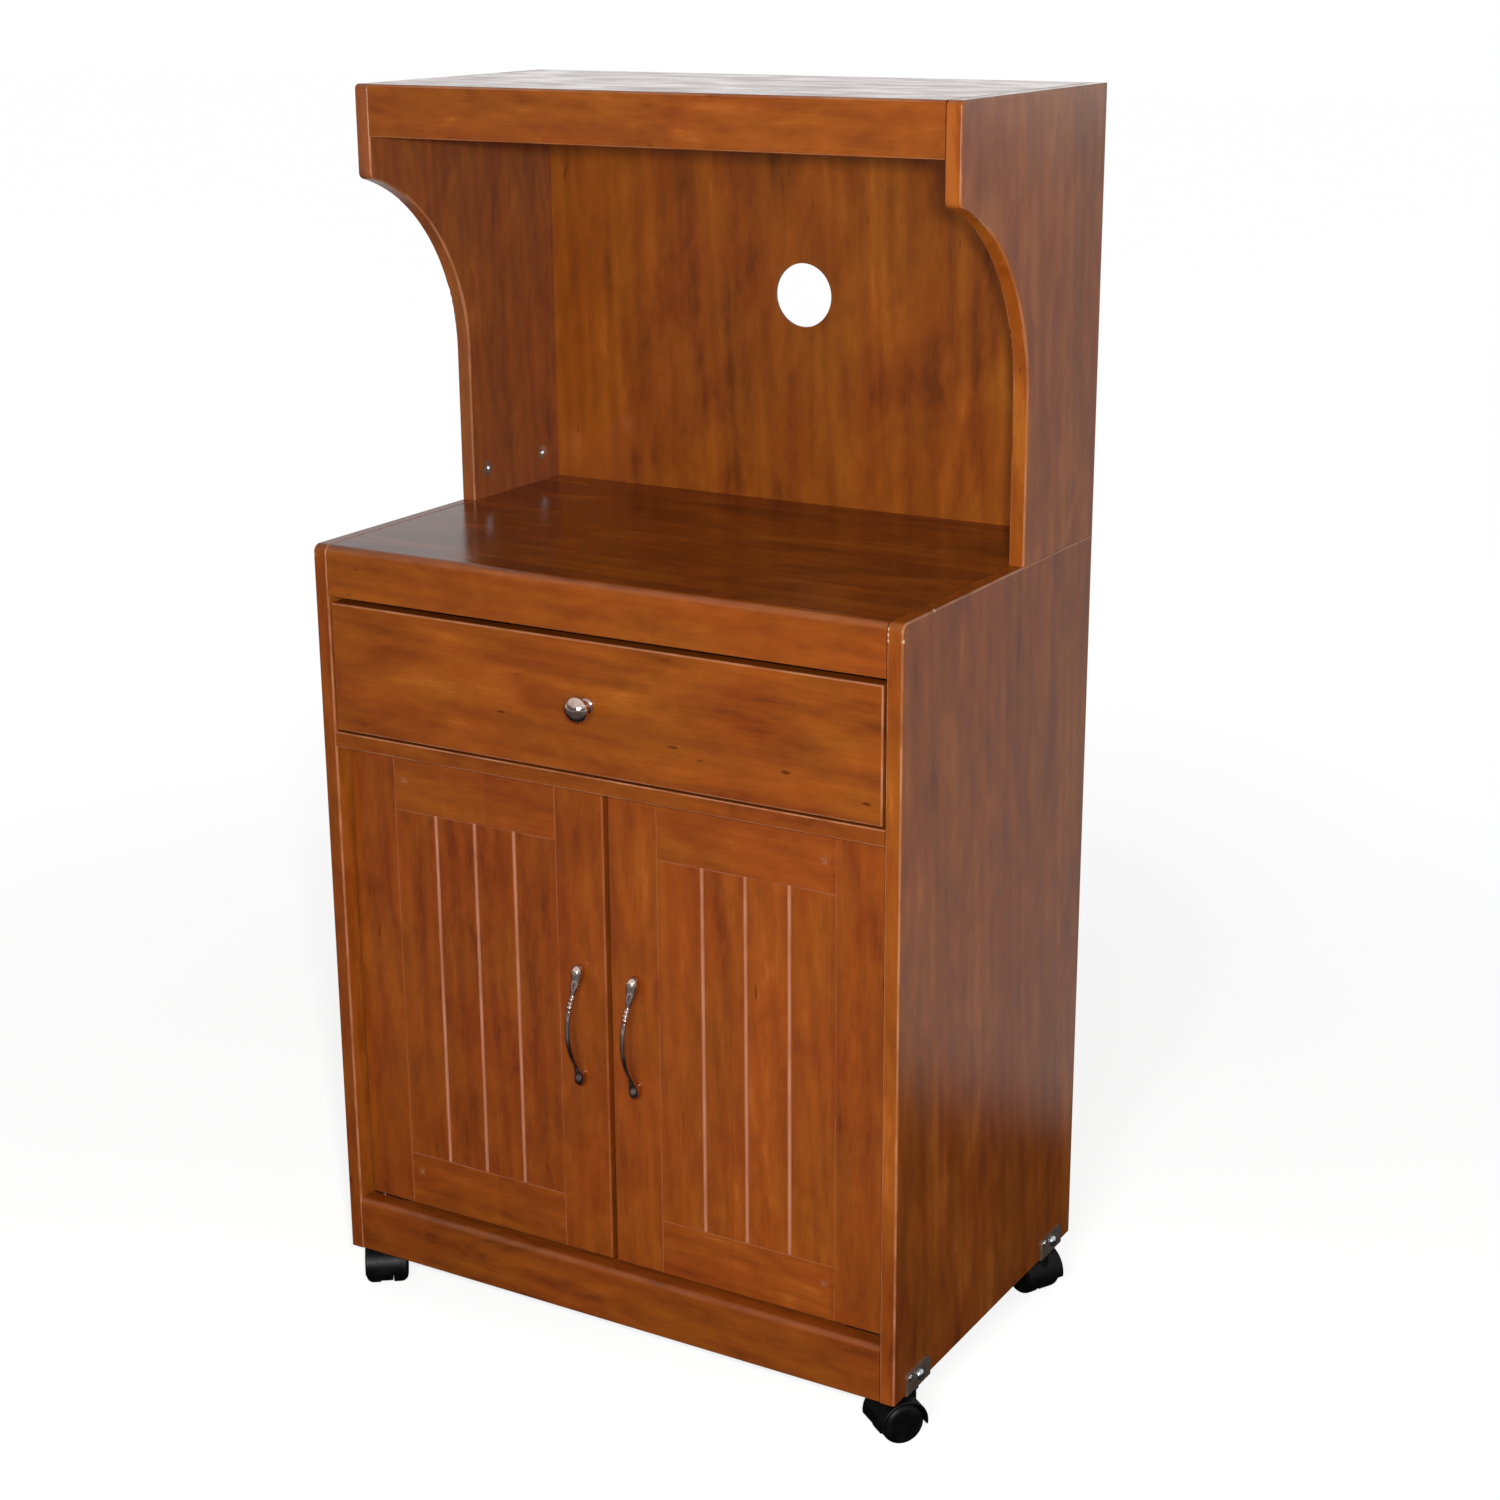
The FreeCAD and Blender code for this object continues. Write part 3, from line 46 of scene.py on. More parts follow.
# The camera's place in millimetres, its turn, tilt and roll in degrees, and its lens.
CAMERA_PLACE = (1213.5, -1970.2, 1276.0)
CAMERA_TURN = 30.461
CAMERA_TILT = -17.25
CAMERA_ROLL = -0.336
CAMERA_LENS = 62.717
SENSOR = 36.0

# Studio light: a softbox beside the camera, a small lamp close to the lens, and an even surround.
SOFTBOX_PLACE = (0.85, -2.27, 1.25)
SOFTBOX_SIZE = 0.7
SOFTBOX_WATTS = 26.0
LENS_LAMP_PLACE = (1.29, -1.95, 1.33)
LENS_LAMP_SIZE = 0.09
LENS_LAMP_WATTS = 29.0
LIGHT_AIM = (0.0, 0.0, 0.6)
SURROUND = 0.18              # what the surround gives matt surfaces
DIM_SIDE = 0.16              # the surround behind the camera, as gloss shows it
OVERHEAD = 0.85              # and overhead
BRIGHT_RIM = 1.9             # the backdrop low behind the stand, as gloss shows it
BRIGHT_BACK = 0.72           # and higher up
BEHIND = (-0.4, 0.3)         # depth of a direction over which the dim side gives way to the bright one
RIM_HEIGHT = (0.04, 0.15)    # height of a direction over which the rim gives way to the back
OVERHEAD_HEIGHT = (0.12, 0.5)
FLOOR_SIZE = 40.0
FLOOR_TONES = ("BEBEBE", "C2C2C2")
FLOOR_LIFT = (0.76, 0.9)     # light that the camera sees on top of the lit floor, near and far
FLOOR_LIFT_REACH = (0.6, 2.6)
GLOSSY_FLOOR = 0.56          # the floor well behind the stand, as gloss shows it
GLOSSY_FLOOR_EDGE = (0.42, 0.66)
GLOSSY_FLOOR_FRONT = 0.15    # and in front of it
GLOSSY_FLOOR_FRONT_EDGE = (-0.35, -0.8)
GLOSSY_FLOOR_NEAR = 0.02     # and close to it
GLOSSY_FLOOR_FAR = 0.45      # and far away on every side
GLOSSY_FLOOR_FAR_EDGE = (3.5, 9.0)

# Doors, in millimetres.
STILE = 51.0
RAIL = 54.0
BEAD_PITCH = 43.5
BEAD_HALF_WIDTH = 2.0
STAVE = 49.0                 # printed staves of the door foil
DIMPLE_FROM_HINGE = 62.0     # where a hinge screw has lifted the foil
DIMPLE_FROM_TOP = 25.0
DIMPLE_FROM_FOOT = 35.5

# Bow handles, in millimetres.
HANDLE_HOLE = 48.0           # screw holes, above and below the middle
HANDLE_BOW = 24.0            # middle line of the bow, from the door
HANDLE_POST_RADIUS = 2.8
HANDLE_POST_HEIGHT = 6.0
BEAD_RADIUS = 3.0
BEAD_SPACING = 3.4
MIDDLE_BEAD = 27.0

# Knob, in millimetres.
KNOB_REACH = 25.0
KNOB_HEAD = 11.8
KNOB_RIM_END = 18.5

# Caster bracket's fasteners, in millimetres: head radius and height, shank radius and length.
DOME_BOLT = (5.2, 4.0, 2.5, 12.0)
SMALL_SCREW = (3.0, 1.2, 1.5, 11.0)
RECESS_TURN = 0.5            # radians that a head's cross recess stands turned
RING = 24                    # corners of a turned piece before it is smoothed


# ------------------------------------------------------------------ material helpers
def linear(hex_colour):
    """An sRGB hex colour as linear red, green, blue and alpha."""
    channels = [int(hex_colour[i:i + 2], 16) / 255 for i in (0, 2, 4)]
    return tuple(c / 12.92 if c <= 0.04045 else ((c + 0.055) / 1.055) ** 2.4 for c in channels) + (1.0,)


def add(tree, kind, settings=None, inputs=None):
    """Adds a node, sets its properties, and fills its inputs with values or with other nodes' outputs."""
    node = tree.nodes.new(kind)
    for name, value in (settings or {}).items():
        setattr(node, name, value)
    for name, value in (inputs or {}).items():
        source = value.outputs[0] if isinstance(value, bpy.types.Node) else value
        if isinstance(source, bpy.types.NodeSocket):
            tree.links.new(source, node.inputs[name])
        else:
            node.inputs[name].default_value = source
    return node


def new_material(name):
    """An empty material and its node tree."""
    material = bpy.data.materials.new(name)
    material.use_nodes = True
    material.node_tree.nodes.clear()
    return material, material.node_tree


def object_place(tree):
    return add(tree, "ShaderNodeTexCoord").outputs["Object"]


def along_grain(tree, place, grain, across, along, detail=2.0, distortion=0.0):
    """Noise drawn out along the grain, with cells of about across by along millimetres."""
    scale = [1 / (across * MM)] * 3
    scale["xyz".index(grain)] = 1 / (along * MM)
    stretched = add(tree, "ShaderNodeMapping", None, {"Vector": place, "Scale": scale})
    return add(tree, "ShaderNodeTexNoise", None, {"Vector": stretched, "Scale": 1.0, "Detail": detail,
                                                  "Roughness": 0.55, "Distortion": distortion})


def growth_rings(tree, place, grain, spacing, along):
    """Curling ring lines of a sawn board, about spacing millimetres apart and drawn out along the grain."""
    period = 0.314               # the wave texture's own, at a scale of 1
    scale = [period / (spacing * MM)] * 3
    scale["xyz".index(grain)] = period / (along * MM)
    stretched = add(tree, "ShaderNodeMapping", None, {"Vector": place, "Scale": scale})
    return add(tree, "ShaderNodeTexWave", {"bands_direction": "DIAGONAL"},
               {"Vector": stretched, "Scale": 1.0, "Distortion": 9.0, "Detail": 3.0,
                "Detail Scale": 0.6}).outputs["Fac"]


# ------------------------------------------------------------------ cherry laminate
CHERRY_TONES = ((0.0, "6A310E"), (0.2, "7D3B10"), (0.5, "8B4512"), (0.8, "984E15"), (1.0, "A65A1E"))
# Layers of the printed figure: millimetres across and along the grain, detail, distortion and share of
# the tone for clouds, bands and mottle, then the same without distortion for small mottle and fibres.
BROAD_FIGURE = ((50, 150, 2.0, 1.8, 0.8), (15, 420, 2.0, 0.2, 0.4), (26, 60, 3.0, 0.8, 0.75))
FINE_FIGURE = ((7, 15, 3.0, 0.4), (1.3, 28, 2.0, 0.5))
RING_SPACING = 11.0
RING_LENGTH = 150.0
RING_SHARE = 0.16
HUE_SPREAD = 0.003           # to each side of the print's own hue
PITCH_FLECK = "451A06"
DARK_FLECK = "5C2708"        # a few larger marks of the drawer front
# Pale arrises: foil worn through, together with a painted highlight along the rounded edges.
RUBBED_FOIL_AND_HIGHLIGHT = "C68A66"
RUBBED_DOOR_FOIL_AND_HIGHLIGHT = "A4623F"
# Painted highlight along the routed beads of the doors.
PAINTED_BEAD_HIGHLIGHT = "C08468"
LIFTED_FOIL = "C79A7A"
PAPER_CORE = "EAD5B6"
# Painted haze: a pale grey film that stands in for light reflected off a face.
PAINTED_HAZE = "BDB1A6"
RAW_HARDBOARD = ("5F4229", "7A5A3C")
BEECH = ("B08A57", "DCC095")


def cherry_print(tree, place, grain, shift=0.5, contrast=1.0, size=1.0, yellow=0.0):
    """The printed figure: curled clouds and long bands, mottle, fine fibres, a warmer or redder hue, short
    dark pitch flecks. shift moves the whole tone up or down about 0.5, as a number or an output; contrast
    and size are those of the clouds, bands and mottle; yellow turns the hue from red to yellow."""
    layers = []
    for across, along, detail, distortion, share in BROAD_FIGURE:
        cloud = along_grain(tree, place, grain, across * size, along * size, detail, distortion)
        layers.append((cloud, share * contrast))
    for across, along, detail, share in FINE_FIGURE:
        layers.append((along_grain(tree, place, grain, across, along, detail), share))
    layers.append((growth_rings(tree, place, grain, RING_SPACING, RING_LENGTH), RING_SHARE))
    tone = shift
    for layer, share in layers:
        about_zero = add(tree, "ShaderNodeMath", {"operation": "SUBTRACT"}, {0: layer, 1: 0.5})
        tone = add(tree, "ShaderNodeMath", {"operation": "MULTIPLY_ADD"}, {0: about_zero, 1: share, 2: tone})
    print_ramp = add(tree, "ShaderNodeValToRGB", None, {"Fac": tone})
    elements = print_ramp.color_ramp.elements
    for place_in_ramp, colour in CHERRY_TONES[1:-1]:
        elements.new(place_in_ramp)
    for element, (place_in_ramp, colour) in zip(elements, CHERRY_TONES):
        element.position = place_in_ramp
        element.color = linear(colour)
    warmth = add(tree, "ShaderNodeMapRange", None,
                 {"Value": along_grain(tree, place, grain, 60, 120), "From Min": 0.35, "From Max": 0.65,
                  "To Min": 0.5 - HUE_SPREAD + yellow, "To Max": 0.5 + HUE_SPREAD + yellow})
    hued = add(tree, "ShaderNodeHueSaturation", None, {"Hue": warmth, "Color": print_ramp})
    fleck = add(tree, "ShaderNodeMapRange", {"interpolation_type": "SMOOTHSTEP"},
                {"Value": along_grain(tree, place, grain, 5, 34, 1.0), "From Min": 0.71, "From Max": 0.79})
    patch = add(tree, "ShaderNodeMapRange", {"interpolation_type": "SMOOTHSTEP"},
                {"Value": along_grain(tree, place, grain, 80, 150, 1.0), "From Min": 0.5, "From Max": 0.6,
                 "To Max": 0.7})
    flecked = add(tree, "ShaderNodeMath", {"operation": "MULTIPLY"}, {0: fleck, 1: patch})
    return add(tree, "ShaderNodeMix", {"data_type": "RGBA"},
               {0: flecked, 6: hued.outputs[0], 7: linear(PITCH_FLECK)}).outputs[2]


def stave_tones(tree, across, first, width, shift, spread, lot_shift=0.0):
    """A random tone for each upright stave of the print: first edge and width in millimetres."""
    from_first = add(tree, "ShaderNodeMath", {"operation": "SUBTRACT"}, {0: across, 1: first * MM})
    stave = add(tree, "ShaderNodeMath", {"operation": "DIVIDE"}, {0: from_first, 1: width * MM})
    number = add(tree, "ShaderNodeMath", {"operation": "FLOOR"}, {0: stave})
    own_number = add(tree, "ShaderNodeMath", {"operation": "ADD"}, {0: number, 1: lot_shift})
    lot = add(tree, "ShaderNodeTexWhiteNoise", {"noise_dimensions": "1D"}, {"W": own_number})
    return add(tree, "ShaderNodeMapRange", None,
               {"Value": lot.outputs["Value"], "To Min": shift - spread, "To Max": shift + spread})


def squareness(tree, thickness):
    """1 on a board's faces and 0 on its edges: how squarely the surface looks along the thickness."""
    normal = add(tree, "ShaderNodeTexCoord").outputs["Normal"]
    turned = add(tree, "ShaderNodeVectorMath", {"operation": "ABSOLUTE"}, {0: normal})
    return add(tree, "ShaderNodeSeparateXYZ", None, {0: turned}).outputs["xyz".index(thickness)]


def arris_wear_and_highlight(tree, place, thickness, most):
    """Worn foil and a painted highlight: on the rounded arrises between a board's faces and its edges."""
    across = squareness(tree, thickness)
    off_edge = add(tree, "ShaderNodeMapRange", {"interpolation_type": "SMOOTHSTEP"},
                   {"Value": across, "From Min": 0.1, "From Max": 0.4})
    off_face = add(tree, "ShaderNodeMapRange", {"interpolation_type": "SMOOTHSTEP"},
                   {"Value": across, "From Min": 0.995, "From Max": 0.9})
    arris = add(tree, "ShaderNodeMath", {"operation": "MULTIPLY"}, {0: off_edge, 1: off_face})
    patchy = add(tree, "ShaderNodeTexNoise", None, {"Vector": place, "Scale": 28.0, "Detail": 5.0})
    rubbed_and_highlit = add(tree, "ShaderNodeMapRange", None,
                 {"Value": patchy, "From Min": 0.36, "From Max": 0.6, "To Min": 0.3 * most, "To Max": most})
    return add(tree, "ShaderNodeMath", {"operation": "MULTIPLY"}, {0: arris, 1: rubbed_and_highlit})


def spots(tree, place, centres, radius, ragged, stretch=(1, 1, 1)):
    """1 inside small ragged spots about the given points, in millimetres; stretch lengthens them."""
    shrink = [1 / s for s in stretch]
    squeezed = add(tree, "ShaderNodeMapping", None, {"Vector": place, "Scale": shrink})
    noise = add(tree, "ShaderNodeTexNoise", None, {"Vector": squeezed, "Scale": 500.0, "Detail": 3.0})
    mask = 0.0
    for centre in centres:
        middle = Vector([c * k * MM for c, k in zip(centre, shrink)])
        away = add(tree, "ShaderNodeVectorMath", {"operation": "DISTANCE"}, {0: squeezed, 1: middle})
        blurred = add(tree, "ShaderNodeMath", {"operation": "MULTIPLY_ADD"},
                      {0: noise, 1: ragged * MM, 2: away.outputs["Value"]})
        inside = add(tree, "ShaderNodeMapRange", {"interpolation_type": "SMOOTHSTEP"},
                     {"Value": blurred, "From Min": (radius + ragged / 2) * MM,
                      "From Max": (radius + ragged / 2) * MM * 0.55})
        mask = add(tree, "ShaderNodeMath", {"operation": "MAXIMUM"}, {0: mask, 1: inside})
    return mask


def laminate_surface(tree, place, colour, grain, roughness):
    """Satin melamine face: a soft gloss that varies a little, over a barely felt grain."""
    fibre = along_grain(tree, place, grain, 1.3, 28)
    cloud = along_grain(tree, place, grain, 30, 60)
    rough = add(tree, "ShaderNodeMapRange", None,
                {"Value": cloud, "From Min": 0.3, "From Max": 0.7, "To Min": roughness - 0.03,
                 "To Max": roughness + 0.05})
    bump = add(tree, "ShaderNodeBump", None, {"Strength": 0.1, "Distance": 0.1 * MM, "Height": fibre})
    shader = add(tree, "ShaderNodeBsdfPrincipled", None,
                 {"Base Color": colour, "Roughness": rough, "IOR": 1.45, "Specular IOR Level": 0.3,
                  "Normal": bump})
    add(tree, "ShaderNodeOutputMaterial", None, {"Surface": shader})


def cherry_laminate(name, grain, thickness, offset, shift=0.5, contrast=1.0, size=1.0, wear_and_highlight=0.7, dust_and_haze=0.0,
                    painted_face_light=0.0, chips=(), flecks=(), roughness=0.2):
    """Printed cherry melamine on particle board: warm red-brown and satin, pale on the arrises where the
    foil is worn and where a painted highlight runs along them, pale where chipped at a corner, and greyed by
    a painted haze that stands in for reflected light. One argument gives how much lighter the faces are
    painted than the
    edge band: painted light for a face that the lamps leave too dark."""
    material, tree = new_material(name)
    place = object_place(tree)
    moved = add(tree, "ShaderNodeVectorMath", {"operation": "ADD"},
                {0: place, 1: (offset, offset * 1.7, offset * 2.3)})
    # Painted light: the faces are made lighter than the edge band, for light that the lamps give an inside
    # face too little of.
    if painted_face_light:
        shift = add(tree, "ShaderNodeMapRange", None,
                    {"Value": squareness(tree, thickness), "From Min": 0.8, "From Max": 0.99,
                     "To Min": shift, "To Max": shift + painted_face_light})
    colour = cherry_print(tree, moved, grain, shift, contrast, size)
    if flecks:
        long_way = [3.5 if axis == grain else 1 for axis in "xyz"]
        marks = spots(tree, place, flecks, 2.0, 2.5, long_way)
        colour = add(tree, "ShaderNodeMix", {"data_type": "RGBA"},
                     {0: marks, 6: colour, 7: linear(DARK_FLECK)}).outputs[2]
    # Painted haze: greys the print where a face should show reflected light.
    colour = add(tree, "ShaderNodeMix", {"data_type": "RGBA"},
                 {0: dust_and_haze, 6: colour, 7: linear(PAINTED_HAZE)}).outputs[2]
    # Pale arrises: worn foil and a painted highlight along them.
    rubbed_and_highlit = arris_wear_and_highlight(tree, place, thickness, wear_and_highlight)
    colour = add(tree, "ShaderNodeMix", {"data_type": "RGBA"},
                 {0: rubbed_and_highlit, 6: colour, 7: linear(RUBBED_FOIL_AND_HIGHLIGHT)}).outputs[2]
    if chips:
        colour = add(tree, "ShaderNodeMix", {"data_type": "RGBA"},
                     {0: spots(tree, place, chips, 2.2, 3.0), 6: colour, 7: linear(PAPER_CORE)}).outputs[2]
    laminate_surface(tree, moved, colour, grain, roughness)
    return material


def cherry_door_foil(name, node, first_stave, offset, shift):
    """Cherry foil pressed over a routed door: upright staves, lying rails, a painted highlight along the
    routed beads, and a dimple where each hinge screw has lifted the foil."""
    material, tree = new_material(name)
    low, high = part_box(node)
    middle = (Vector(low) + Vector(high)) / 2
    half = (Vector(high) - Vector(low)) / 2
    place = object_place(tree)
    from_middle = add(tree, "ShaderNodeVectorMath", {"operation": "SUBTRACT"}, {0: place, 1: middle})
    aside = add(tree, "ShaderNodeVectorMath", {"operation": "ABSOLUTE"}, {0: from_middle})
    reach = add(tree, "ShaderNodeSeparateXYZ", None, {0: aside})
    between_stiles = add(tree, "ShaderNodeMath", {"operation": "LESS_THAN"},
                         {0: reach.outputs["X"], 1: half.x - STILE * MM})
    past_panel = add(tree, "ShaderNodeMath", {"operation": "GREATER_THAN"},
                     {0: reach.outputs["Z"], 1: half.z - RAIL * MM})
    on_rail = add(tree, "ShaderNodeMath", {"operation": "MULTIPLY"}, {0: between_stiles, 1: past_panel})
    parts = add(tree, "ShaderNodeSeparateXYZ", None, {0: place})
    lying = add(tree, "ShaderNodeCombineXYZ", None,
                {"X": parts.outputs["Z"], "Y": parts.outputs["Y"], "Z": parts.outputs["X"]})
    grain_place = add(tree, "ShaderNodeMix", {"data_type": "VECTOR"},
                      {0: on_rail, 4: place, 5: lying}).outputs[1]
    moved = add(tree, "ShaderNodeVectorMath", {"operation": "ADD"},
                {0: grain_place, 1: (offset, 0.0, offset * 1.6)})
    lot_shift = add(tree, "ShaderNodeMath", {"operation": "MULTIPLY"}, {0: on_rail, 1: 40.0})
    stave_tone = stave_tones(tree, parts.outputs["X"], first_stave, STAVE, shift, 0.1, lot_shift)
    colour = cherry_print(tree, moved, "z", stave_tone, yellow=-0.002)
    # Pale arrises and routed frame lines: worn foil and a painted highlight along them.
    wear_and_highlight = arris_wear_and_highlight(tree, place, "y", 0.6)
    colour = add(tree, "ShaderNodeMix", {"data_type": "RGBA"},
                 {0: wear_and_highlight, 6: colour, 7: linear(RUBBED_DOOR_FOIL_AND_HIGHLIGHT)}).outputs[2]
    # Painted highlight along the routed beads, stronger in patches.
    from_bead = add(tree, "ShaderNodeMath", {"operation": "PINGPONG"},
                    {0: add(tree, "ShaderNodeSeparateXYZ", None, {0: from_middle}).outputs["X"],
                     1: BEAD_PITCH * MM / 2})
    on_bead = add(tree, "ShaderNodeMapRange", {"interpolation_type": "SMOOTHSTEP"},
                  {"Value": from_bead, "From Min": BEAD_HALF_WIDTH * MM,
                   "From Max": BEAD_HALF_WIDTH * MM * 0.6})
    in_panel = add(tree, "ShaderNodeMath", {"operation": "LESS_THAN"},
                   {0: reach.outputs["Z"], 1: half.z - RAIL * MM})
    near_beads = add(tree, "ShaderNodeMath", {"operation": "LESS_THAN"},
                     {0: reach.outputs["X"], 1: BEAD_PITCH * MM * 1.2})
    bead_highlight = add(tree, "ShaderNodeMath", {"operation": "MULTIPLY"}, {0: in_panel, 1: near_beads})
    bead_highlight = add(tree, "ShaderNodeMath", {"operation": "MULTIPLY"}, {0: bead_highlight, 1: on_bead})
    uneven = add(tree, "ShaderNodeMapRange", None,
                 {"Value": along_grain(tree, place, "z", 20, 60), "From Min": 0.35, "From Max": 0.65,
                  "To Min": 0.45, "To Max": 0.85})
    bead_highlight = add(tree, "ShaderNodeMath", {"operation": "MULTIPLY"}, {0: bead_highlight, 1: uneven})
    colour = add(tree, "ShaderNodeMix", {"data_type": "RGBA"},
                 {0: bead_highlight, 6: colour, 7: linear(PAINTED_BEAD_HIGHLIGHT)}).outputs[2]
    hinge_x = (high[0] if high[0] > -low[0] else low[0]) / MM
    inward = math.copysign(DIMPLE_FROM_HINGE, hinge_x)
    dimples = [(hinge_x - inward, low[1] / MM, z) for z in (low[2] / MM + DIMPLE_FROM_FOOT,
                                                            high[2] / MM - DIMPLE_FROM_TOP)]
    dimple = add(tree, "ShaderNodeMath", {"operation": "MULTIPLY"},
                 {0: spots(tree, place, dimples, 5.0, 16.0), 1: 0.25})
    colour = add(tree, "ShaderNodeMix", {"data_type": "RGBA"},
                 {0: dimple, 6: colour, 7: linear(LIFTED_FOIL)}).outputs[2]
    laminate_surface(tree, moved, colour, "z", 0.22)
    return material


def printed_hardboard(name, offset):
    """Thin hardboard: cherry print in upright staves on the front, bare dark fibre behind."""
    material, tree = new_material(name)
    place = object_place(tree)
    moved = add(tree, "ShaderNodeVectorMath", {"operation": "ADD"},
                {0: place, 1: (offset, 0.0, offset * 2.3)})
    across = add(tree, "ShaderNodeSeparateXYZ", None, {0: place}).outputs["X"]
    stave_tone = stave_tones(tree, across, 12.0, 96.0, 0.5, 0.1)
    printed = cherry_print(tree, moved, "z", stave_tone, 1.7, 1.8, 0.003)
    fibre = add(tree, "ShaderNodeTexNoise", None, {"Vector": place, "Scale": 900.0, "Detail": 4.0})
    felt = add(tree, "ShaderNodeMix", {"data_type": "RGBA"},
               {0: fibre, 6: linear(RAW_HARDBOARD[0]), 7: linear(RAW_HARDBOARD[1])}).outputs[2]
    facing = add(tree, "ShaderNodeSeparateXYZ", None, {0: add(tree, "ShaderNodeTexCoord").outputs["Normal"]})
    behind = add(tree, "ShaderNodeMath", {"operation": "GREATER_THAN"}, {0: facing.outputs["Y"], 1: 0.5})
    colour = add(tree, "ShaderNodeMix", {"data_type": "RGBA"}, {0: behind, 6: printed, 7: felt}).outputs[2]
    laminate_surface(tree, moved, colour, "z", 0.3)
    return material


# ------------------------------------------------------------------ metals and plastics
def plated_metal(name, colour, dull_and_reflected, roughness, spread, grit, metallic=1.0):
    """Plated metal: bright, with faint smears in a second tone, a painted reflection of the wood where that
    tone is brown, and pin-point dulling; grit is its spacing in millimetres.
    """
    material, tree = new_material(name)
    place = object_place(tree)
    smear = add(tree, "ShaderNodeTexNoise", None, {"Vector": place, "Scale": 60.0, "Detail": 4.0})
    specks = add(tree, "ShaderNodeTexNoise", None,
                 {"Vector": place, "Scale": 1 / (grit * MM), "Detail": 2.0})
    second_tone_share = add(tree, "ShaderNodeMapRange", None, {"Value": smear, "From Min": 0.35, "From Max": 0.75})
    tone = add(tree, "ShaderNodeMix", {"data_type": "RGBA"},
               {0: second_tone_share, 6: linear(colour), 7: linear(dull_and_reflected)}).outputs[2]
    rough = add(tree, "ShaderNodeMapRange", None,
                {"Value": smear, "From Min": 0.35, "From Max": 0.7, "To Min": roughness,
                 "To Max": roughness + spread})
    bump = add(tree, "ShaderNodeBump", None, {"Strength": 0.06, "Distance": 0.1 * MM, "Height": specks})
    shader = add(tree, "ShaderNodeBsdfPrincipled", None,
                 {"Base Color": tone, "Metallic": metallic, "Roughness": rough, "Normal": bump})
    add(tree, "ShaderNodeOutputMaterial", None, {"Surface": shader})
    return material


def moulded_plastic(name, colour, dusty, roughness, grit):
    """Moulded nylon or ABS: a fine leathery grit, and dust that dulls it in patches."""
    material, tree = new_material(name)
    place = object_place(tree)
    specks = add(tree, "ShaderNodeTexNoise", None,
                 {"Vector": place, "Scale": 1 / (grit * MM), "Detail": 3.0})
    dust_and_haze = add(tree, "ShaderNodeTexNoise", None, {"Vector": place, "Scale": 90.0, "Detail": 5.0})
    second_tone_share = add(tree, "ShaderNodeMapRange", None, {"Value": dust_and_haze, "From Min": 0.45, "From Max": 0.8})
    tone = add(tree, "ShaderNodeMix", {"data_type": "RGBA"},
               {0: second_tone_share, 6: linear(colour), 7: linear(dusty)}).outputs[2]
    rough = add(tree, "ShaderNodeMapRange", None,
                {"Value": dust_and_haze, "From Min": 0.3, "From Max": 0.7, "To Min": roughness - 0.05,
                 "To Max": roughness + 0.1})
    bump = add(tree, "ShaderNodeBump", None, {"Strength": 0.2, "Distance": 0.2 * MM, "Height": specks})
    shader = add(tree, "ShaderNodeBsdfPrincipled", None,
                 {"Base Color": tone, "Roughness": rough, "IOR": 1.5, "Specular IOR Level": 0.16,
                  "Normal": bump})
    add(tree, "ShaderNodeOutputMaterial", None, {"Surface": shader})
    return material


def bare_beech(name):
    """Turned beech left bare: pale, with short brown flecks."""
    material, tree = new_material(name)
    fleck = along_grain(tree, object_place(tree), "x", 1.2, 5)
    colour = add(tree, "ShaderNodeMix", {"data_type": "RGBA"},
                 {0: fleck, 6: linear(BEECH[0]), 7: linear(BEECH[1])}).outputs[2]
    bump = add(tree, "ShaderNodeBump", None, {"Strength": 0.2, "Distance": 0.2 * MM, "Height": fleck})
    shader = add(tree, "ShaderNodeBsdfPrincipled", None,
                 {"Base Color": colour, "Roughness": 0.65, "Normal": bump})
    add(tree, "ShaderNodeOutputMaterial", None, {"Surface": shader})
    return material


# ------------------------------------------------------------------ modelling helpers
def lay_ring(name, centre, radius, turn):
    """A round face to draw a turned piece out of, in metres."""
    bpy.ops.object.select_all(action="DESELECT")
    bpy.ops.mesh.primitive_circle_add(vertices=RING, radius=radius, fill_type="NGON", location=centre,
                                      rotation=turn)
    piece = bpy.context.object
    piece.name = name
    bpy.ops.object.transform_apply(location=True, rotation=True, scale=True)
    return piece


def draw_out(piece, stations):
    """Extrudes the round face from station to station; each is a centre and a radius, in metres."""
    bpy.ops.object.mode_set(mode="EDIT")
    bpy.ops.mesh.select_all(action="SELECT")
    for (start, old_radius), (centre, radius) in zip(stations, stations[1:]):
        bpy.ops.mesh.extrude_region_move(TRANSFORM_OT_translate={"value": centre - start})
        growth = radius / old_radius
        bpy.ops.transform.resize(value=(growth, growth, growth), center_override=centre)
    bpy.ops.mesh.select_all(action="SELECT")
    bpy.ops.mesh.normals_make_consistent(inside=False)
    bpy.ops.object.mode_set(mode="OBJECT")
    return piece


def smooth_out(piece, levels=2):
    """Subdivides the piece smoothly and shades it smooth."""
    rounding = piece.modifiers.new("rounding", "SUBSURF")
    rounding.levels = levels
    rounding.render_levels = levels
    bpy.ops.object.modifier_apply(modifier=rounding.name)
    bpy.ops.object.shade_smooth()


def join_to(piece, others):
    bpy.ops.object.select_all(action="DESELECT")
    for other in others:
        other.select_set(True)
    piece.select_set(True)
    bpy.context.view_layer.objects.active = piece
    bpy.ops.object.join()


def finish_piece(piece, material, body, node):
    """Gives a piece its material and its body, and puts it in the place of a CAD node."""
    piece.data.materials.clear()
    piece.data.materials.append(material)
    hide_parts(node)
    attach(piece, body)


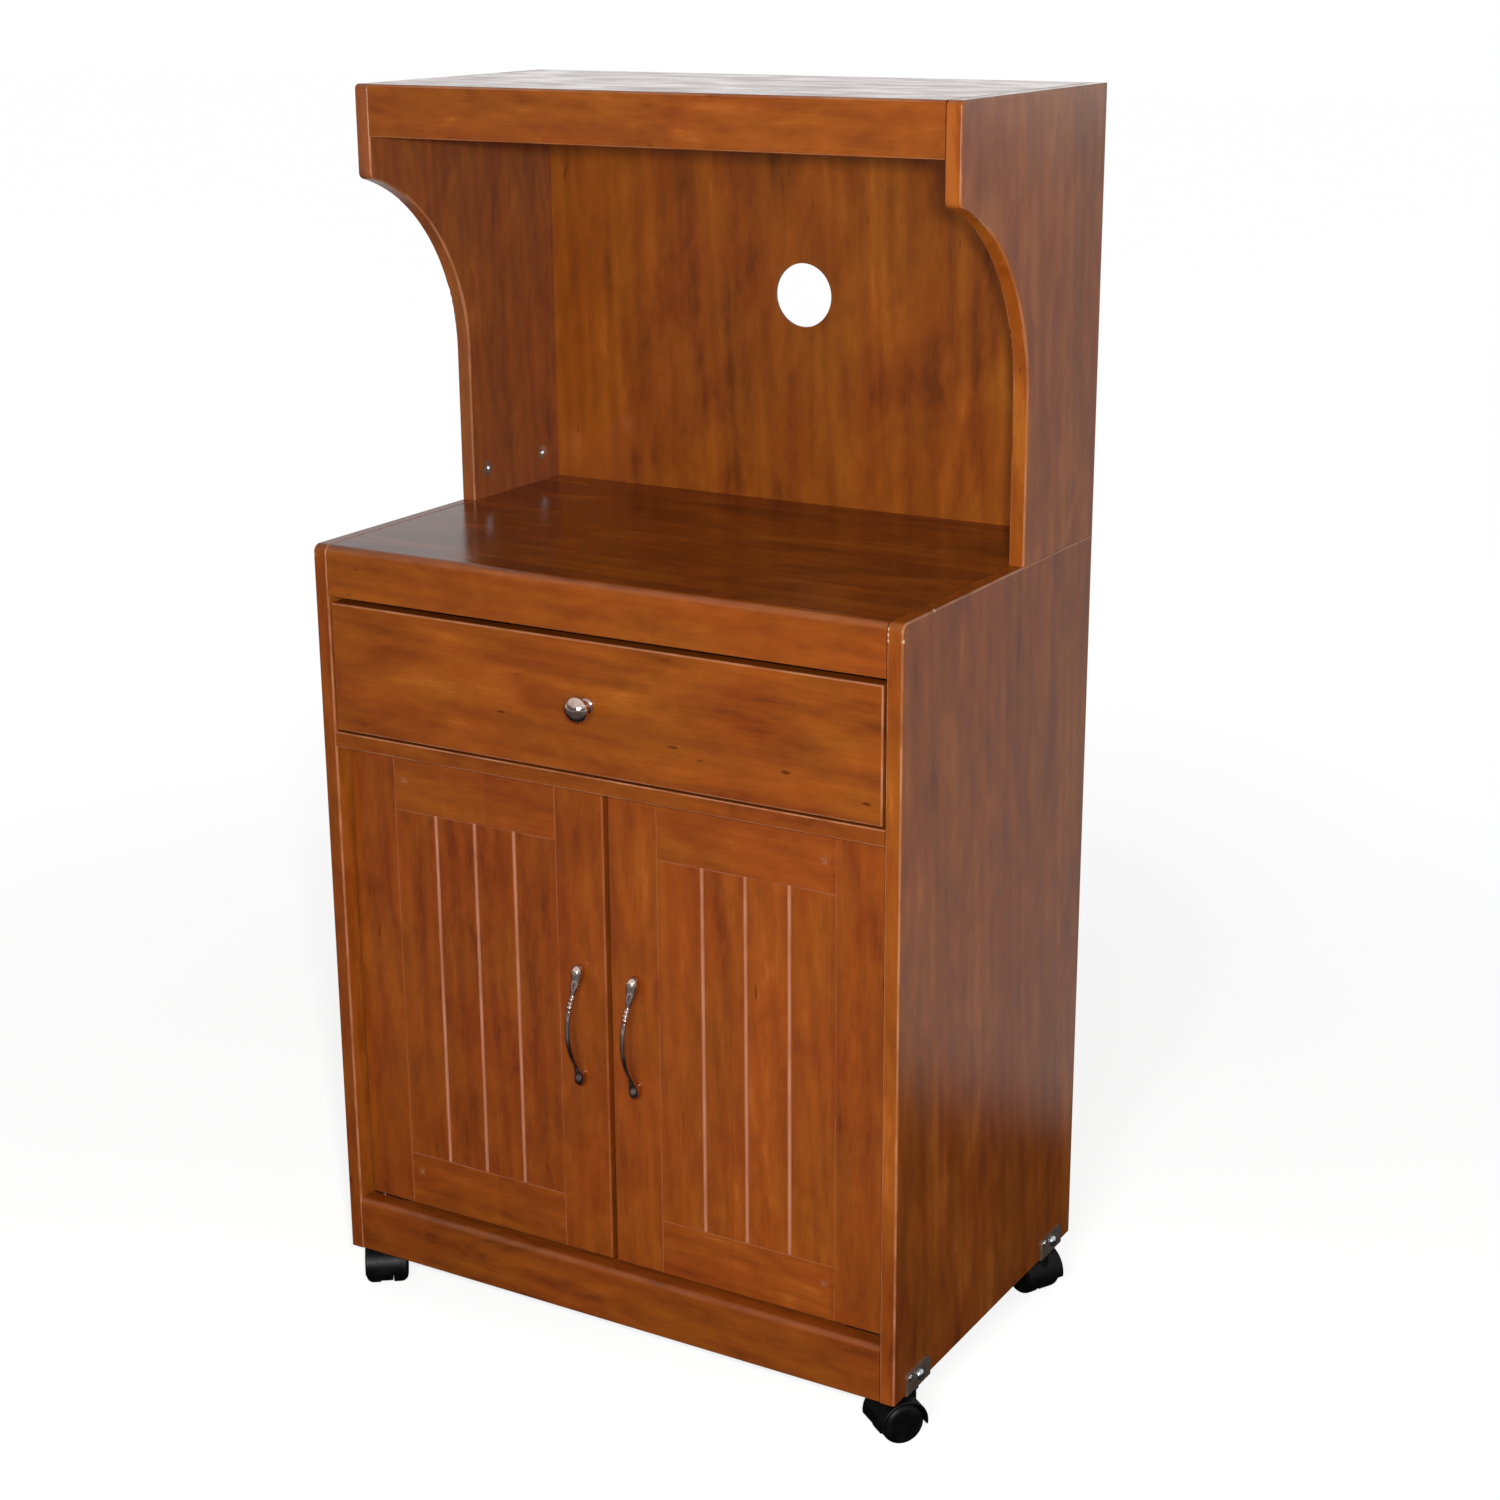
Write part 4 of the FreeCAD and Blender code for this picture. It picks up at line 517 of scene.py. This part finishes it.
# ------------------------------------------------------------------ turned and drawn pieces
def bow_stations(x, y_face, z_middle):
    """Rings of a bow handle from its top to its foot: head, three beads, slim bow, round foot."""
    bow_radius = (HANDLE_HOLE ** 2 + HANDLE_BOW ** 2) / (2 * HANDLE_BOW)

    def bow(height):
        return HANDLE_BOW - bow_radius + math.sqrt(bow_radius ** 2 - height ** 2)

    head = [(59.5, 4.2, 1.5), (58.3, 4.4, 3.6), (55.8, 5.6, 5.2), (52.0, 6.1, 5.9), (47.0, 6.4, 5.8),
            (42.5, 8.8, 4.8), (38.5, 11.6, 3.6), (35.0, bow(35.0), 2.8), (32.6, bow(32.6), 2.1)]
    beads = []
    for step in (1, 0, -1):
        centre = MIDDLE_BEAD + step * BEAD_SPACING
        for rise, width in ((1.5, 2.0), (1.0, 2.9), (0.0, BEAD_RADIUS + 0.3), (-1.0, 2.9), (-1.5, 2.0)):
            beads.append((centre + rise, bow(centre + rise), width))
    bar = [(height, bow(height), 2.3) for height in (19.0, 12.0, 4.0, -5.0, -14.0, -23.0, -31.0)]
    foot = [(-37.5, bow(-37.5), 2.4), (-41.5, 10.2, 2.9), (-44.0, 8.2, 3.9), (-47.3, 6.2, 5.3),
            (-51.0, 6.0, 5.8), (-55.0, 5.6, 5.4), (-58.2, 4.7, 3.7), (-59.5, 4.2, 1.6)]
    return [(Vector((x, y_face - reach * MM, z_middle + height * MM)), width * MM)
            for height, reach, width in head + beads + bar + foot]


def make_handle(side, chrome):
    low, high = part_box(side + "_handle")
    x, y_face, z_middle = (low[0] + high[0]) / 2, high[1], (low[2] + high[2]) / 2
    stations = bow_stations(x, y_face, z_middle)
    handle = lay_ring(side + "_bow_handle", stations[0][0], stations[0][1], (0, 0, 0))
    draw_out(handle, stations)
    smooth_out(handle)
    posts = []
    for height in (-HANDLE_HOLE, HANDLE_HOLE):
        foot = Vector((x, y_face, z_middle + height * MM))
        neck = foot - Vector((0, HANDLE_POST_HEIGHT * MM, 0))
        post = lay_ring(side + "_post", foot, HANDLE_POST_RADIUS * MM, (math.pi / 2, 0, 0))
        draw_out(post, [(foot, HANDLE_POST_RADIUS * MM), (neck, HANDLE_POST_RADIUS * MM)])
        bpy.ops.object.shade_smooth_by_angle(angle=math.radians(40))
        posts.append(post)
    join_to(handle, posts)
    finish_piece(handle, chrome, side + "_door_set", side + "_handle")


def make_knob(chrome):
    """Mushroom knob turned in one piece: foot, neck, flare, rim and a domed face."""
    low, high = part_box("drawer_knob")
    seat = Vector(((low[0] + high[0]) / 2, high[1], (low[2] + high[2]) / 2))
    rise = KNOB_REACH - KNOB_RIM_END
    dome_radius = (KNOB_HEAD ** 2 + rise ** 2) / (2 * rise)
    profile = [(0.0, 7.0), (0.2, 7.0), (1.4, 7.0), (1.7, 6.7), (3.0, 4.6), (6.0, 4.5), (9.0, 4.5),
               (11.3, 5.4), (13.6, 8.0), (15.6, 11.1), (16.4, 12.0), (17.4, 12.3), (KNOB_RIM_END, 11.9)]
    for part in (0.2, 0.4, 0.6, 0.8, 0.95):
        reach = KNOB_RIM_END + rise * part
        profile.append((reach, math.sqrt(dome_radius ** 2 - (reach - KNOB_REACH + dome_radius) ** 2)))
    profile.append((KNOB_REACH, 1.0))
    stations = [(seat - Vector((0, reach * MM, 0)), radius * MM) for reach, radius in profile]
    knob = lay_ring("turned_knob", stations[0][0], stations[0][1], (math.pi / 2, 0, 0))
    draw_out(knob, stations)
    smooth_out(knob)
    finish_piece(knob, chrome, "drawer", "drawer_knob")


def domed_fastener(name, seat, outward, sizes):
    """A domed head with a cross recess, on its shank; outward is +1 or -1 along X."""
    head_radius, head_height, shank_radius, shank_length = (size * MM for size in sizes)
    out = Vector((outward, 0, 0))
    tip = seat - out * shank_length
    stations = [(tip, shank_radius), (seat, shank_radius), (seat, head_radius)]
    for rise, share in ((0.2, 1.0), (0.5, 0.92), (0.75, 0.73), (0.92, 0.45), (1.0, 0.15)):
        stations.append((seat + out * head_height * rise, head_radius * share))
    fastener = lay_ring(name, tip, shank_radius, (0, math.pi / 2, 0))
    draw_out(fastener, stations)
    for turn in (0, math.pi / 2):
        bpy.ops.object.select_all(action="DESELECT")
        bpy.ops.mesh.primitive_cube_add(size=1, location=seat + out * head_height,
                                        rotation=(turn + RECESS_TURN, 0, 0),
                                        scale=(head_height, head_radius * 1.15, head_radius * 0.2))
        cutter = bpy.context.object
        bpy.ops.object.select_all(action="DESELECT")
        bpy.context.view_layer.objects.active = fastener
        recess = fastener.modifiers.new("recess", "BOOLEAN")
        recess.operation = "DIFFERENCE"
        recess.object = cutter
        bpy.ops.object.modifier_apply(modifier=recess.name)
        bpy.data.objects.remove(cutter)
    fastener.select_set(True)
    bpy.ops.object.shade_smooth_by_angle(angle=math.radians(38))
    return fastener


def make_bracket_fasteners(node, name, sizes, zinc):
    """The four fasteners of one kind, seated on the outer faces of the caster brackets."""
    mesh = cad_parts[node].data
    face_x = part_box("caster_brackets")[1][0]
    spots_found = {}
    for vertex in mesh.vertices:
        corner = (vertex.co.x > 0, vertex.co.y > 0)
        spots_found.setdefault(corner, []).append(vertex.co)
    heads = []
    for (right, _), found in sorted(spots_found.items()):
        y = (min(v.y for v in found) + max(v.y for v in found)) / 2
        z = (min(v.z for v in found) + max(v.z for v in found)) / 2
        outward = 1 if right else -1
        heads.append(domed_fastener(name, Vector((outward * face_x, y, z)), outward, sizes))
    join_to(heads[0], heads[1:])
    finish_piece(heads[0], zinc, "carcass", node)


# ------------------------------------------------------------------ dressing the stand
def dress(material, *nodes):
    """Gives CAD nodes a material."""
    for node in nodes:
        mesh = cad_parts[node].data
        for i in range(len(mesh.materials)):
            mesh.materials[i] = material


def dress_boards():
    side = {"grain": "z", "thickness": "x"}
    # The left side's edge band is set low, painted shade for light falling off to the left, and its faces
    # lighter: painted light on the inner face.
    dress(cherry_laminate("cherry_laminate_left_side", offset=1.0, shift=0.38, wear_and_highlight=0.6, painted_face_light=0.47,
                          chips=[(-299, -175, 746)], **side), "left_side_panel")
    right_chips = [(285.5, -175, 750), (285.5, -175, 745), (285.5, -175, 740), (299.3, -174, 741),
                   (299.5, -119, 754.5)]
    dress(cherry_laminate("cherry_laminate_right_side", offset=2.3, shift=0.62, contrast=1.8, size=1.7,
                          wear_and_highlight=0.6, chips=right_chips, **side), "right_side_panel")
    # The inner face carries a painted haze for the light it reflects.
    dress(cherry_laminate("cherry_laminate_hutch_left", offset=3.1, contrast=1.5, wear_and_highlight=0.5, dust_and_haze=0.04,
                          **side), "hutch_left_side")
    dress(cherry_laminate("cherry_laminate_hutch_right", offset=4.7, shift=0.74, contrast=1.8, size=1.7,
                          wear_and_highlight=0.5, **side), "hutch_right_side")
    lying = {"grain": "x", "thickness": "z"}
    # The deck's tone is set low: painted shade for a level top that takes little light.
    dress(cherry_laminate("cherry_laminate_deck", offset=5.2, shift=0.3, contrast=2.1, size=1.8, wear_and_highlight=0.1,
                          **lying), "deck_board")
    dress(cherry_laminate("cherry_laminate_hutch_top", offset=6.4, wear_and_highlight=0.4, **lying), "hutch_top")
    dress(cherry_laminate("cherry_laminate_shelves", offset=8.5, shift=0.34, **lying), "bottom_panel",
          "fixed_shelf", "loose_shelf")
    upright = {"grain": "x", "thickness": "y"}
    dress(cherry_laminate("cherry_laminate_apron", offset=5.2, wear_and_highlight=0.1, **upright), "deck_apron")
    # The valance's tone is set high: painted light for the stronger light high up on the front.
    dress(cherry_laminate("cherry_laminate_valance", offset=6.4, shift=0.62, contrast=1.4, wear_and_highlight=0.4,
                          **upright), "hutch_valance")
    # The toe rail's tone is set low: painted shade for the light falling off towards the floor.
    dress(cherry_laminate("cherry_laminate_toe_rail", offset=7.9, shift=0.3, wear_and_highlight=0.08, **upright),
          "toe_rail")
    drawer_flecks = [(192.5, -175.5, 615), (268, -175.5, 600), (82, -175.5, 620), (-97.5, -175.5, 626)]
    dress(cherry_laminate("cherry_laminate_drawer_front", offset=9.3, contrast=1.4, size=1.5, wear_and_highlight=0.6,
                          flecks=drawer_flecks, **upright), "drawer_front")
    dress(cherry_laminate("foil_wrapped_drawer_sides", "y", "x", 14.1, roughness=0.4), "drawer_left_side",
          "drawer_right_side")
    dress(cherry_laminate("foil_wrapped_drawer_back", "x", "y", 15.3, roughness=0.4), "drawer_back")
    dress(printed_hardboard("printed_hardboard_hutch", 10.6), "hutch_back_panel")
    dress(printed_hardboard("printed_hardboard_lower", 11.2), "lower_back_panel", "drawer_bottom")
    # The left door's tone is set lower than the right's: painted shade for light falling off to the left.
    dress(cherry_door_foil("cherry_foil_left_door", "left_door", -32.0, 12.8, 0.45), "left_door")
    dress(cherry_door_foil("cherry_foil_right_door", "right_door", 31.0, 13.4, 0.54), "right_door")


def dress_fittings():
    zinc = plated_metal("zinc_plated_steel", "D3DDE2", "9CA6AC", 0.16, 0.2, 0.6)
    # The chrome's brown smears are partly a painted reflection of the cherry wood.
    chrome = plated_metal("bright_chrome_plate", "EDD6CC", "946F60", 0.05, 0.08, 0.5)
    dress(zinc, "cam_locks", "cam_bolts", "back_panel_nails", "shelf_pins", "drawer_runner_screws",
          "knob_screw", "left_handle_screws", "right_handle_screws", "left_hinge_screws",
          "right_hinge_screws", "caster_stems", "left_hinge_leaves", "right_hinge_leaves",
          "hinge_pivot_plates", "left_strike_plate", "right_strike_plate")
    # Both tones are browned by a painted reflection of the cherry panels.
    dress(plated_metal("dulled_steel_painted_reflection", "80736A", "5C4838", 0.4, 0.2, 0.8, 0.6), "caster_brackets")
    dress(moulded_plastic("brown_moulded_plastic", "3A2013", "54382A", 0.5, 0.7), "drawer_runners",
          "magnet_catch")
    dress(bare_beech("bare_beech"), "wood_dowels")
    black = moulded_plastic("black_moulded_nylon", "080708", "131214", 0.42, 0.7)
    for corner in ("front_left", "front_right", "rear_left", "rear_right"):
        dress(black, corner + "_caster_hood", corner + "_caster_left_wheel", corner + "_caster_right_wheel")
    for side in ("left", "right"):
        make_handle(side, chrome)
    make_knob(chrome)
    make_bracket_fasteners("bracket_bolts", "domed_bracket_bolts", DOME_BOLT, zinc)
    make_bracket_fasteners("bracket_screws", "small_bracket_screws", SMALL_SCREW, zinc)


# ------------------------------------------------------------------ stage, light and camera
def make_floor():
    """Pale floor that the camera and reflections see lighter, so that it runs into the white surround."""
    bpy.ops.object.select_all(action="DESELECT")
    bpy.ops.mesh.primitive_plane_add(size=FLOOR_SIZE, location=(0, 0, 0))
    floor = bpy.context.object
    floor.name = "studio_floor"
    material, tree = new_material("pale_studio_floor")
    place = object_place(tree)
    mottle = add(tree, "ShaderNodeTexNoise", None, {"Vector": place, "Scale": 3.0})
    colour = add(tree, "ShaderNodeMix", {"data_type": "RGBA"},
                 {0: mottle, 6: linear(FLOOR_TONES[0]), 7: linear(FLOOR_TONES[1])}).outputs[2]
    away = add(tree, "ShaderNodeVectorMath", {"operation": "LENGTH"}, {0: place})
    path = add(tree, "ShaderNodeLightPath")
    lift = add(tree, "ShaderNodeMapRange", {"interpolation_type": "SMOOTHSTEP"},
               {"Value": away.outputs["Value"], "From Min": FLOOR_LIFT_REACH[0],
                "From Max": FLOOR_LIFT_REACH[1], "To Min": FLOOR_LIFT[0], "To Max": FLOOR_LIFT[1]})
    seen = add(tree, "ShaderNodeMath", {"operation": "MULTIPLY"},
               {0: lift, 1: path.outputs["Is Camera Ray"]})
    glow = add(tree, "ShaderNodeEmission", None, {"Strength": seen})
    matt = add(tree, "ShaderNodeBsdfDiffuse", None, {"Color": colour})
    lit = add(tree, "ShaderNodeAddShader", None, {0: matt, 1: glow})
    depth = add(tree, "ShaderNodeSeparateXYZ", None, {0: place}).outputs["Y"]
    front = add(tree, "ShaderNodeMapRange", {"interpolation_type": "SMOOTHSTEP"},
                {"Value": depth, "From Min": GLOSSY_FLOOR_FRONT_EDGE[0],
                 "From Max": GLOSSY_FLOOR_FRONT_EDGE[1], "To Min": GLOSSY_FLOOR_NEAR,
                 "To Max": GLOSSY_FLOOR_FRONT})
    far = add(tree, "ShaderNodeMapRange", {"interpolation_type": "SMOOTHSTEP"},
              {"Value": away.outputs["Value"], "From Min": GLOSSY_FLOOR_FAR_EDGE[0],
               "From Max": GLOSSY_FLOOR_FAR_EDGE[1], "To Max": GLOSSY_FLOOR_FAR})
    back = add(tree, "ShaderNodeMapRange", {"interpolation_type": "SMOOTHSTEP"},
               {"Value": depth, "From Min": GLOSSY_FLOOR_EDGE[0], "From Max": GLOSSY_FLOOR_EDGE[1],
                "To Max": GLOSSY_FLOOR})
    near_glow = add(tree, "ShaderNodeMath", {"operation": "MAXIMUM"}, {0: front, 1: back})
    bright = add(tree, "ShaderNodeMath", {"operation": "MAXIMUM"}, {0: near_glow, 1: far})
    mirror = add(tree, "ShaderNodeEmission", None, {"Strength": bright})
    mirrored = add(tree, "ShaderNodeMath", {"operation": "MAXIMUM"},
                   {0: path.outputs["Is Glossy Ray"], 1: path.outputs["Is Transmission Ray"]})
    both = add(tree, "ShaderNodeMixShader", None, {0: mirrored, 1: lit, 2: mirror})
    add(tree, "ShaderNodeOutputMaterial", None, {"Surface": both})
    floor.data.materials.append(material)


def make_surround():
    """White to the camera, bright behind the stand and dim before it to gloss, soft to matt faces."""
    world = bpy.data.worlds.new("studio_surround")
    bpy.context.scene.world = world
    world.use_nodes = True
    tree = world.node_tree
    tree.nodes.clear()
    path = add(tree, "ShaderNodeLightPath")
    looking = add(tree, "ShaderNodeTexCoord").outputs["Generated"]
    direction = add(tree, "ShaderNodeSeparateXYZ", None, {0: looking})
    behind = add(tree, "ShaderNodeMapRange", {"interpolation_type": "SMOOTHSTEP"},
                 {"Value": direction.outputs["Y"], "From Min": BEHIND[0], "From Max": BEHIND[1],
                  "To Min": DIM_SIDE, "To Max": 1.0})
    height = add(tree, "ShaderNodeMapRange", None,
                 {"Value": direction.outputs["Z"], "From Min": RIM_HEIGHT[0], "From Max": RIM_HEIGHT[1],
                  "To Min": BRIGHT_RIM, "To Max": BRIGHT_BACK})
    low = add(tree, "ShaderNodeMath", {"operation": "MULTIPLY"}, {0: behind, 1: height})
    overhead = add(tree, "ShaderNodeMapRange", {"interpolation_type": "SMOOTHSTEP"},
                   {"Value": direction.outputs["Z"], "From Min": OVERHEAD_HEIGHT[0],
                    "From Max": OVERHEAD_HEIGHT[1], "To Max": OVERHEAD})
    glossy = add(tree, "ShaderNodeMath", {"operation": "MAXIMUM"}, {0: low, 1: overhead})
    mirrored = add(tree, "ShaderNodeMath", {"operation": "MAXIMUM"},
                   {0: path.outputs["Is Glossy Ray"], 1: path.outputs["Is Transmission Ray"]})
    to_object = add(tree, "ShaderNodeMix", None, {0: mirrored, 2: SURROUND, 3: glossy})
    strength = add(tree, "ShaderNodeMix", None, {0: path.outputs["Is Camera Ray"], 2: to_object, 3: 1.0})
    background = add(tree, "ShaderNodeBackground", None, {"Color": linear("FFFFFF"), "Strength": strength})
    add(tree, "ShaderNodeOutputWorld", None, {"Surface": background})


def make_lamp(name, place, size, watts):
    """A square area lamp that faces the stand."""
    lamp = bpy.data.lights.new(name, "AREA")
    lamp.size = size
    lamp.energy = watts
    holder = bpy.data.objects.new(name, lamp)
    holder.location = place
    holder.rotation_euler = (Vector(LIGHT_AIM) - Vector(place)).to_track_quat("-Z", "Y").to_euler()
    bpy.context.collection.objects.link(holder)


def make_camera():
    turn, tilt, roll = (math.radians(angle) for angle in (CAMERA_TURN, CAMERA_TILT, CAMERA_ROLL))
    forward = Vector((-math.sin(turn) * math.cos(tilt), math.cos(turn) * math.cos(tilt), math.sin(tilt)))
    right = Vector((math.cos(turn), math.sin(turn), 0))
    up = right.cross(forward)
    rolled_right = right * math.cos(roll) + up * math.sin(roll)
    rolled_up = up * math.cos(roll) - right * math.sin(roll)
    lens = bpy.data.cameras.new("viewpoint")
    lens.lens = CAMERA_LENS
    lens.sensor_fit = "HORIZONTAL"
    lens.sensor_width = SENSOR
    camera = bpy.data.objects.new("viewpoint", lens)
    pose = Matrix((rolled_right, rolled_up, -forward)).transposed().to_4x4()
    pose.translation = Vector(CAMERA_PLACE) * MM
    camera.matrix_world = pose
    bpy.context.collection.objects.link(camera)
    bpy.context.scene.camera = camera


bpy.context.scene.view_settings.view_transform = "Standard"
make_camera()
make_surround()
make_lamp("softbox", SOFTBOX_PLACE, SOFTBOX_SIZE, SOFTBOX_WATTS)
make_lamp("lens_lamp", LENS_LAMP_PLACE, LENS_LAMP_SIZE, LENS_LAMP_WATTS)
make_floor()
dress_boards()
dress_fittings()
